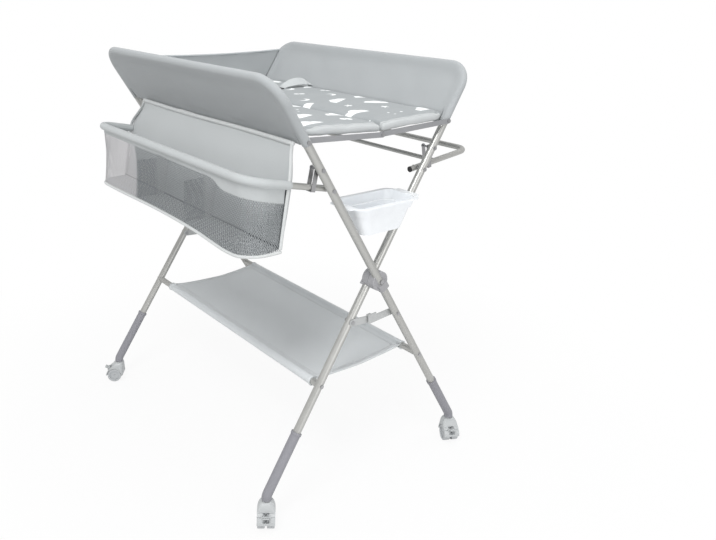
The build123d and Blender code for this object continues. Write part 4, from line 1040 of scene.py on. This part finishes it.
def hood_top(place, yaw):
    """Rounded shell over a caster's hood, up to the foot of the leg.

    Its section is the hood's circle about the axle plus a rise looked up by the angle, and the
    rise is rounded off towards both sides as a quarter ellipse. Yaw turns it about the stem.
    """
    hood_r, half, axle_x, axle_z, level, foot = 0.0239, 0.0205, 0.012, 0.020, 0.007, 0.290
    side, end = SIDES[place[0]], 1 if place.endswith("far") else -1
    turn = np.linspace(HOOD_TURNS[0], HOOD_TURNS[-1], 60)[:, None]
    rise = np.interp(turn, HOOD_TURNS, HOOD_RISES)
    y = np.sin(np.linspace(-math.pi / 2, math.pi / 2, 33))[None] * half
    round_off = np.sqrt(np.clip(1 - (np.clip(np.abs(y) - level, 0, 1) / (half - level)) ** 2, 0, 1))
    angle = np.radians(turn)
    c, s = math.cos(math.radians(yaw)), math.sin(math.radians(yaw))

    def layer(radius):
        """Points across the hood's width at a radius from the axle, or at one for each point."""
        x = axle_x + radius * np.cos(angle)
        z = axle_z + radius * np.sin(angle)
        return stack(HX - side * foot + x * c - y * s, HY + leg_y(side, end) + x * s + y * c, z)

    top = slab("caster_top_" + place, layer(hood_r + 0.0003 + rise * round_off),
               layer(hood_r - 0.0002), caster_grey, stack(angle, y))
    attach(top, "caster_" + place)


for place, yaw in CASTERS.items():
    hood_top(place, yaw)


# Finishes of the rigid pieces

FINISH_OF = ((tube_silver, ("leg_", "guard_hoop", "shelf_rail", "rack_loop", "rack_bar", "basket_loop")),
             (rivet_steel, ("rivets", "hub_bolts", "top_pins", "caster_stems", "rack_hangers",
                            "basket_hangers")),
             (link_steel, ("top_rails",)), (brace_paint, ("brace_",)), (foot_grey, ("foot_sleeves",)),
             (hub_grey, ("hub_halves",)), (wheel_grey, ("caster_wheels",)), (caster_grey, ("caster_",)),
             (bin_white, ("storage_bin",)), (black_plastic, ("buckle_", "rack_plugs")))
for node_name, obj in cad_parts.items():
    for finish, starts in FINISH_OF:
        if node_name.startswith(starts):
            obj.data.materials.clear()
            obj.data.materials.append(finish.material)
            break


# Floor, light and camera

def studio():
    """White floor and world for the camera's rays, soft light from above, the left and the front.

    The floor glows by nine tenths round the table, where it keeps the shadow, and fully farther out.
    """
    near_table, far_out = 0.55, 1.3
    floor = Finish("white_floor", (0.80, 0.80, 0.80), 0.9)
    light_path = floor.node("ShaderNodeLightPath")
    glow = floor.node("ShaderNodeEmission", None, {"Color": (1, 1, 1, 1), "Strength": 1.0})
    mixer = floor.node("ShaderNodeMixShader")
    out = floor.tree.nodes["Material Output"]
    x, y = floor.split(floor.place())[:2]
    away = (x * x + y * y).root().step(near_table, far_out)
    seen = Val(floor, light_path.outputs["Is Camera Ray"]) * (away * 0.10 + 0.90)
    floor.feed(mixer.inputs[0], seen)
    floor.tree.links.new(floor.shader.outputs[0], mixer.inputs[1])
    floor.tree.links.new(glow.outputs[0], mixer.inputs[2])
    floor.tree.links.new(mixer.outputs[0], out.inputs["Surface"])
    k = np.linspace(-6, 6, 3)
    grid = stack(k, k[:, None], 0.0)
    plane = build("studio_floor", grid, grid_faces(3, 3), floor, smooth=False)
    world = bpy.data.worlds.new("studio_world")
    bpy.context.scene.world = world
    world.use_nodes = True
    tree = world.node_tree
    back = tree.nodes["Background"]
    back.inputs["Color"].default_value = (1, 1, 1, 1)
    path = tree.nodes.new("ShaderNodeLightPath")
    level = tree.nodes.new("ShaderNodeMapRange")
    tree.links.new(path.outputs["Is Camera Ray"], level.inputs["Value"])
    level.inputs["To Min"].default_value = 0.70
    level.inputs["To Max"].default_value = 1.0
    tree.links.new(level.outputs["Result"], back.inputs["Strength"])
    for name, place, aim, size, power in (("key", (-1.7, -1.1, 2.9), (0, 0, 0.7), 1.2, 46.0),
                                          ("front", (-0.3, -3.4, 1.0), (0, 0, 0.5), 1.6, 20.0),
                                          ("top", (0.4, -0.3, 3.2), (0, 0, 0.6), 2.0, 20.0)):
        lamp = bpy.data.lights.new(name, "AREA")
        lamp.energy, lamp.size, lamp.shape = power, size, "DISK"
        obj = bpy.data.objects.new(name, lamp)
        bpy.context.scene.collection.objects.link(obj)
        obj.location = place
        obj.rotation_euler = (Vector(aim) - Vector(place)).to_track_quat("-Z", "Y").to_euler()


def camera():
    """The photograph's view: three-quarter from the open end and the basket's side."""
    azimuth, elevation, roll = -0.6942, 0.2223, 0.0305
    wide, focal, shift, sensor = 716.0, 721.963, (38.4, -114.8), 36.0  # pixels; the sensor in mm
    back = Vector((math.sin(azimuth) * math.cos(elevation),
                   -math.cos(azimuth) * math.cos(elevation), math.sin(elevation)))
    place = Vector((HX - 1.1138, HY - 1.5096, 1.1670))
    right = (-back).cross(Vector((0, 0, 1))).normalized()
    up = right.cross(-back)
    turned = right * math.cos(roll) + up * math.sin(roll)
    up = up * math.cos(roll) - right * math.sin(roll)
    matrix = Matrix((turned, up, back)).transposed().to_4x4()
    matrix.translation = place
    data = bpy.data.cameras.new("photo_camera")
    data.sensor_width = sensor
    data.sensor_fit = "HORIZONTAL"
    data.lens = focal * sensor / wide
    data.shift_x, data.shift_y = shift[0] / wide, shift[1] / wide
    obj = bpy.data.objects.new("photo_camera", data)
    bpy.context.scene.collection.objects.link(obj)
    obj.matrix_world = matrix
    bpy.context.scene.camera = obj


studio()
camera()
bpy.context.scene.view_settings.view_transform = "Standard"
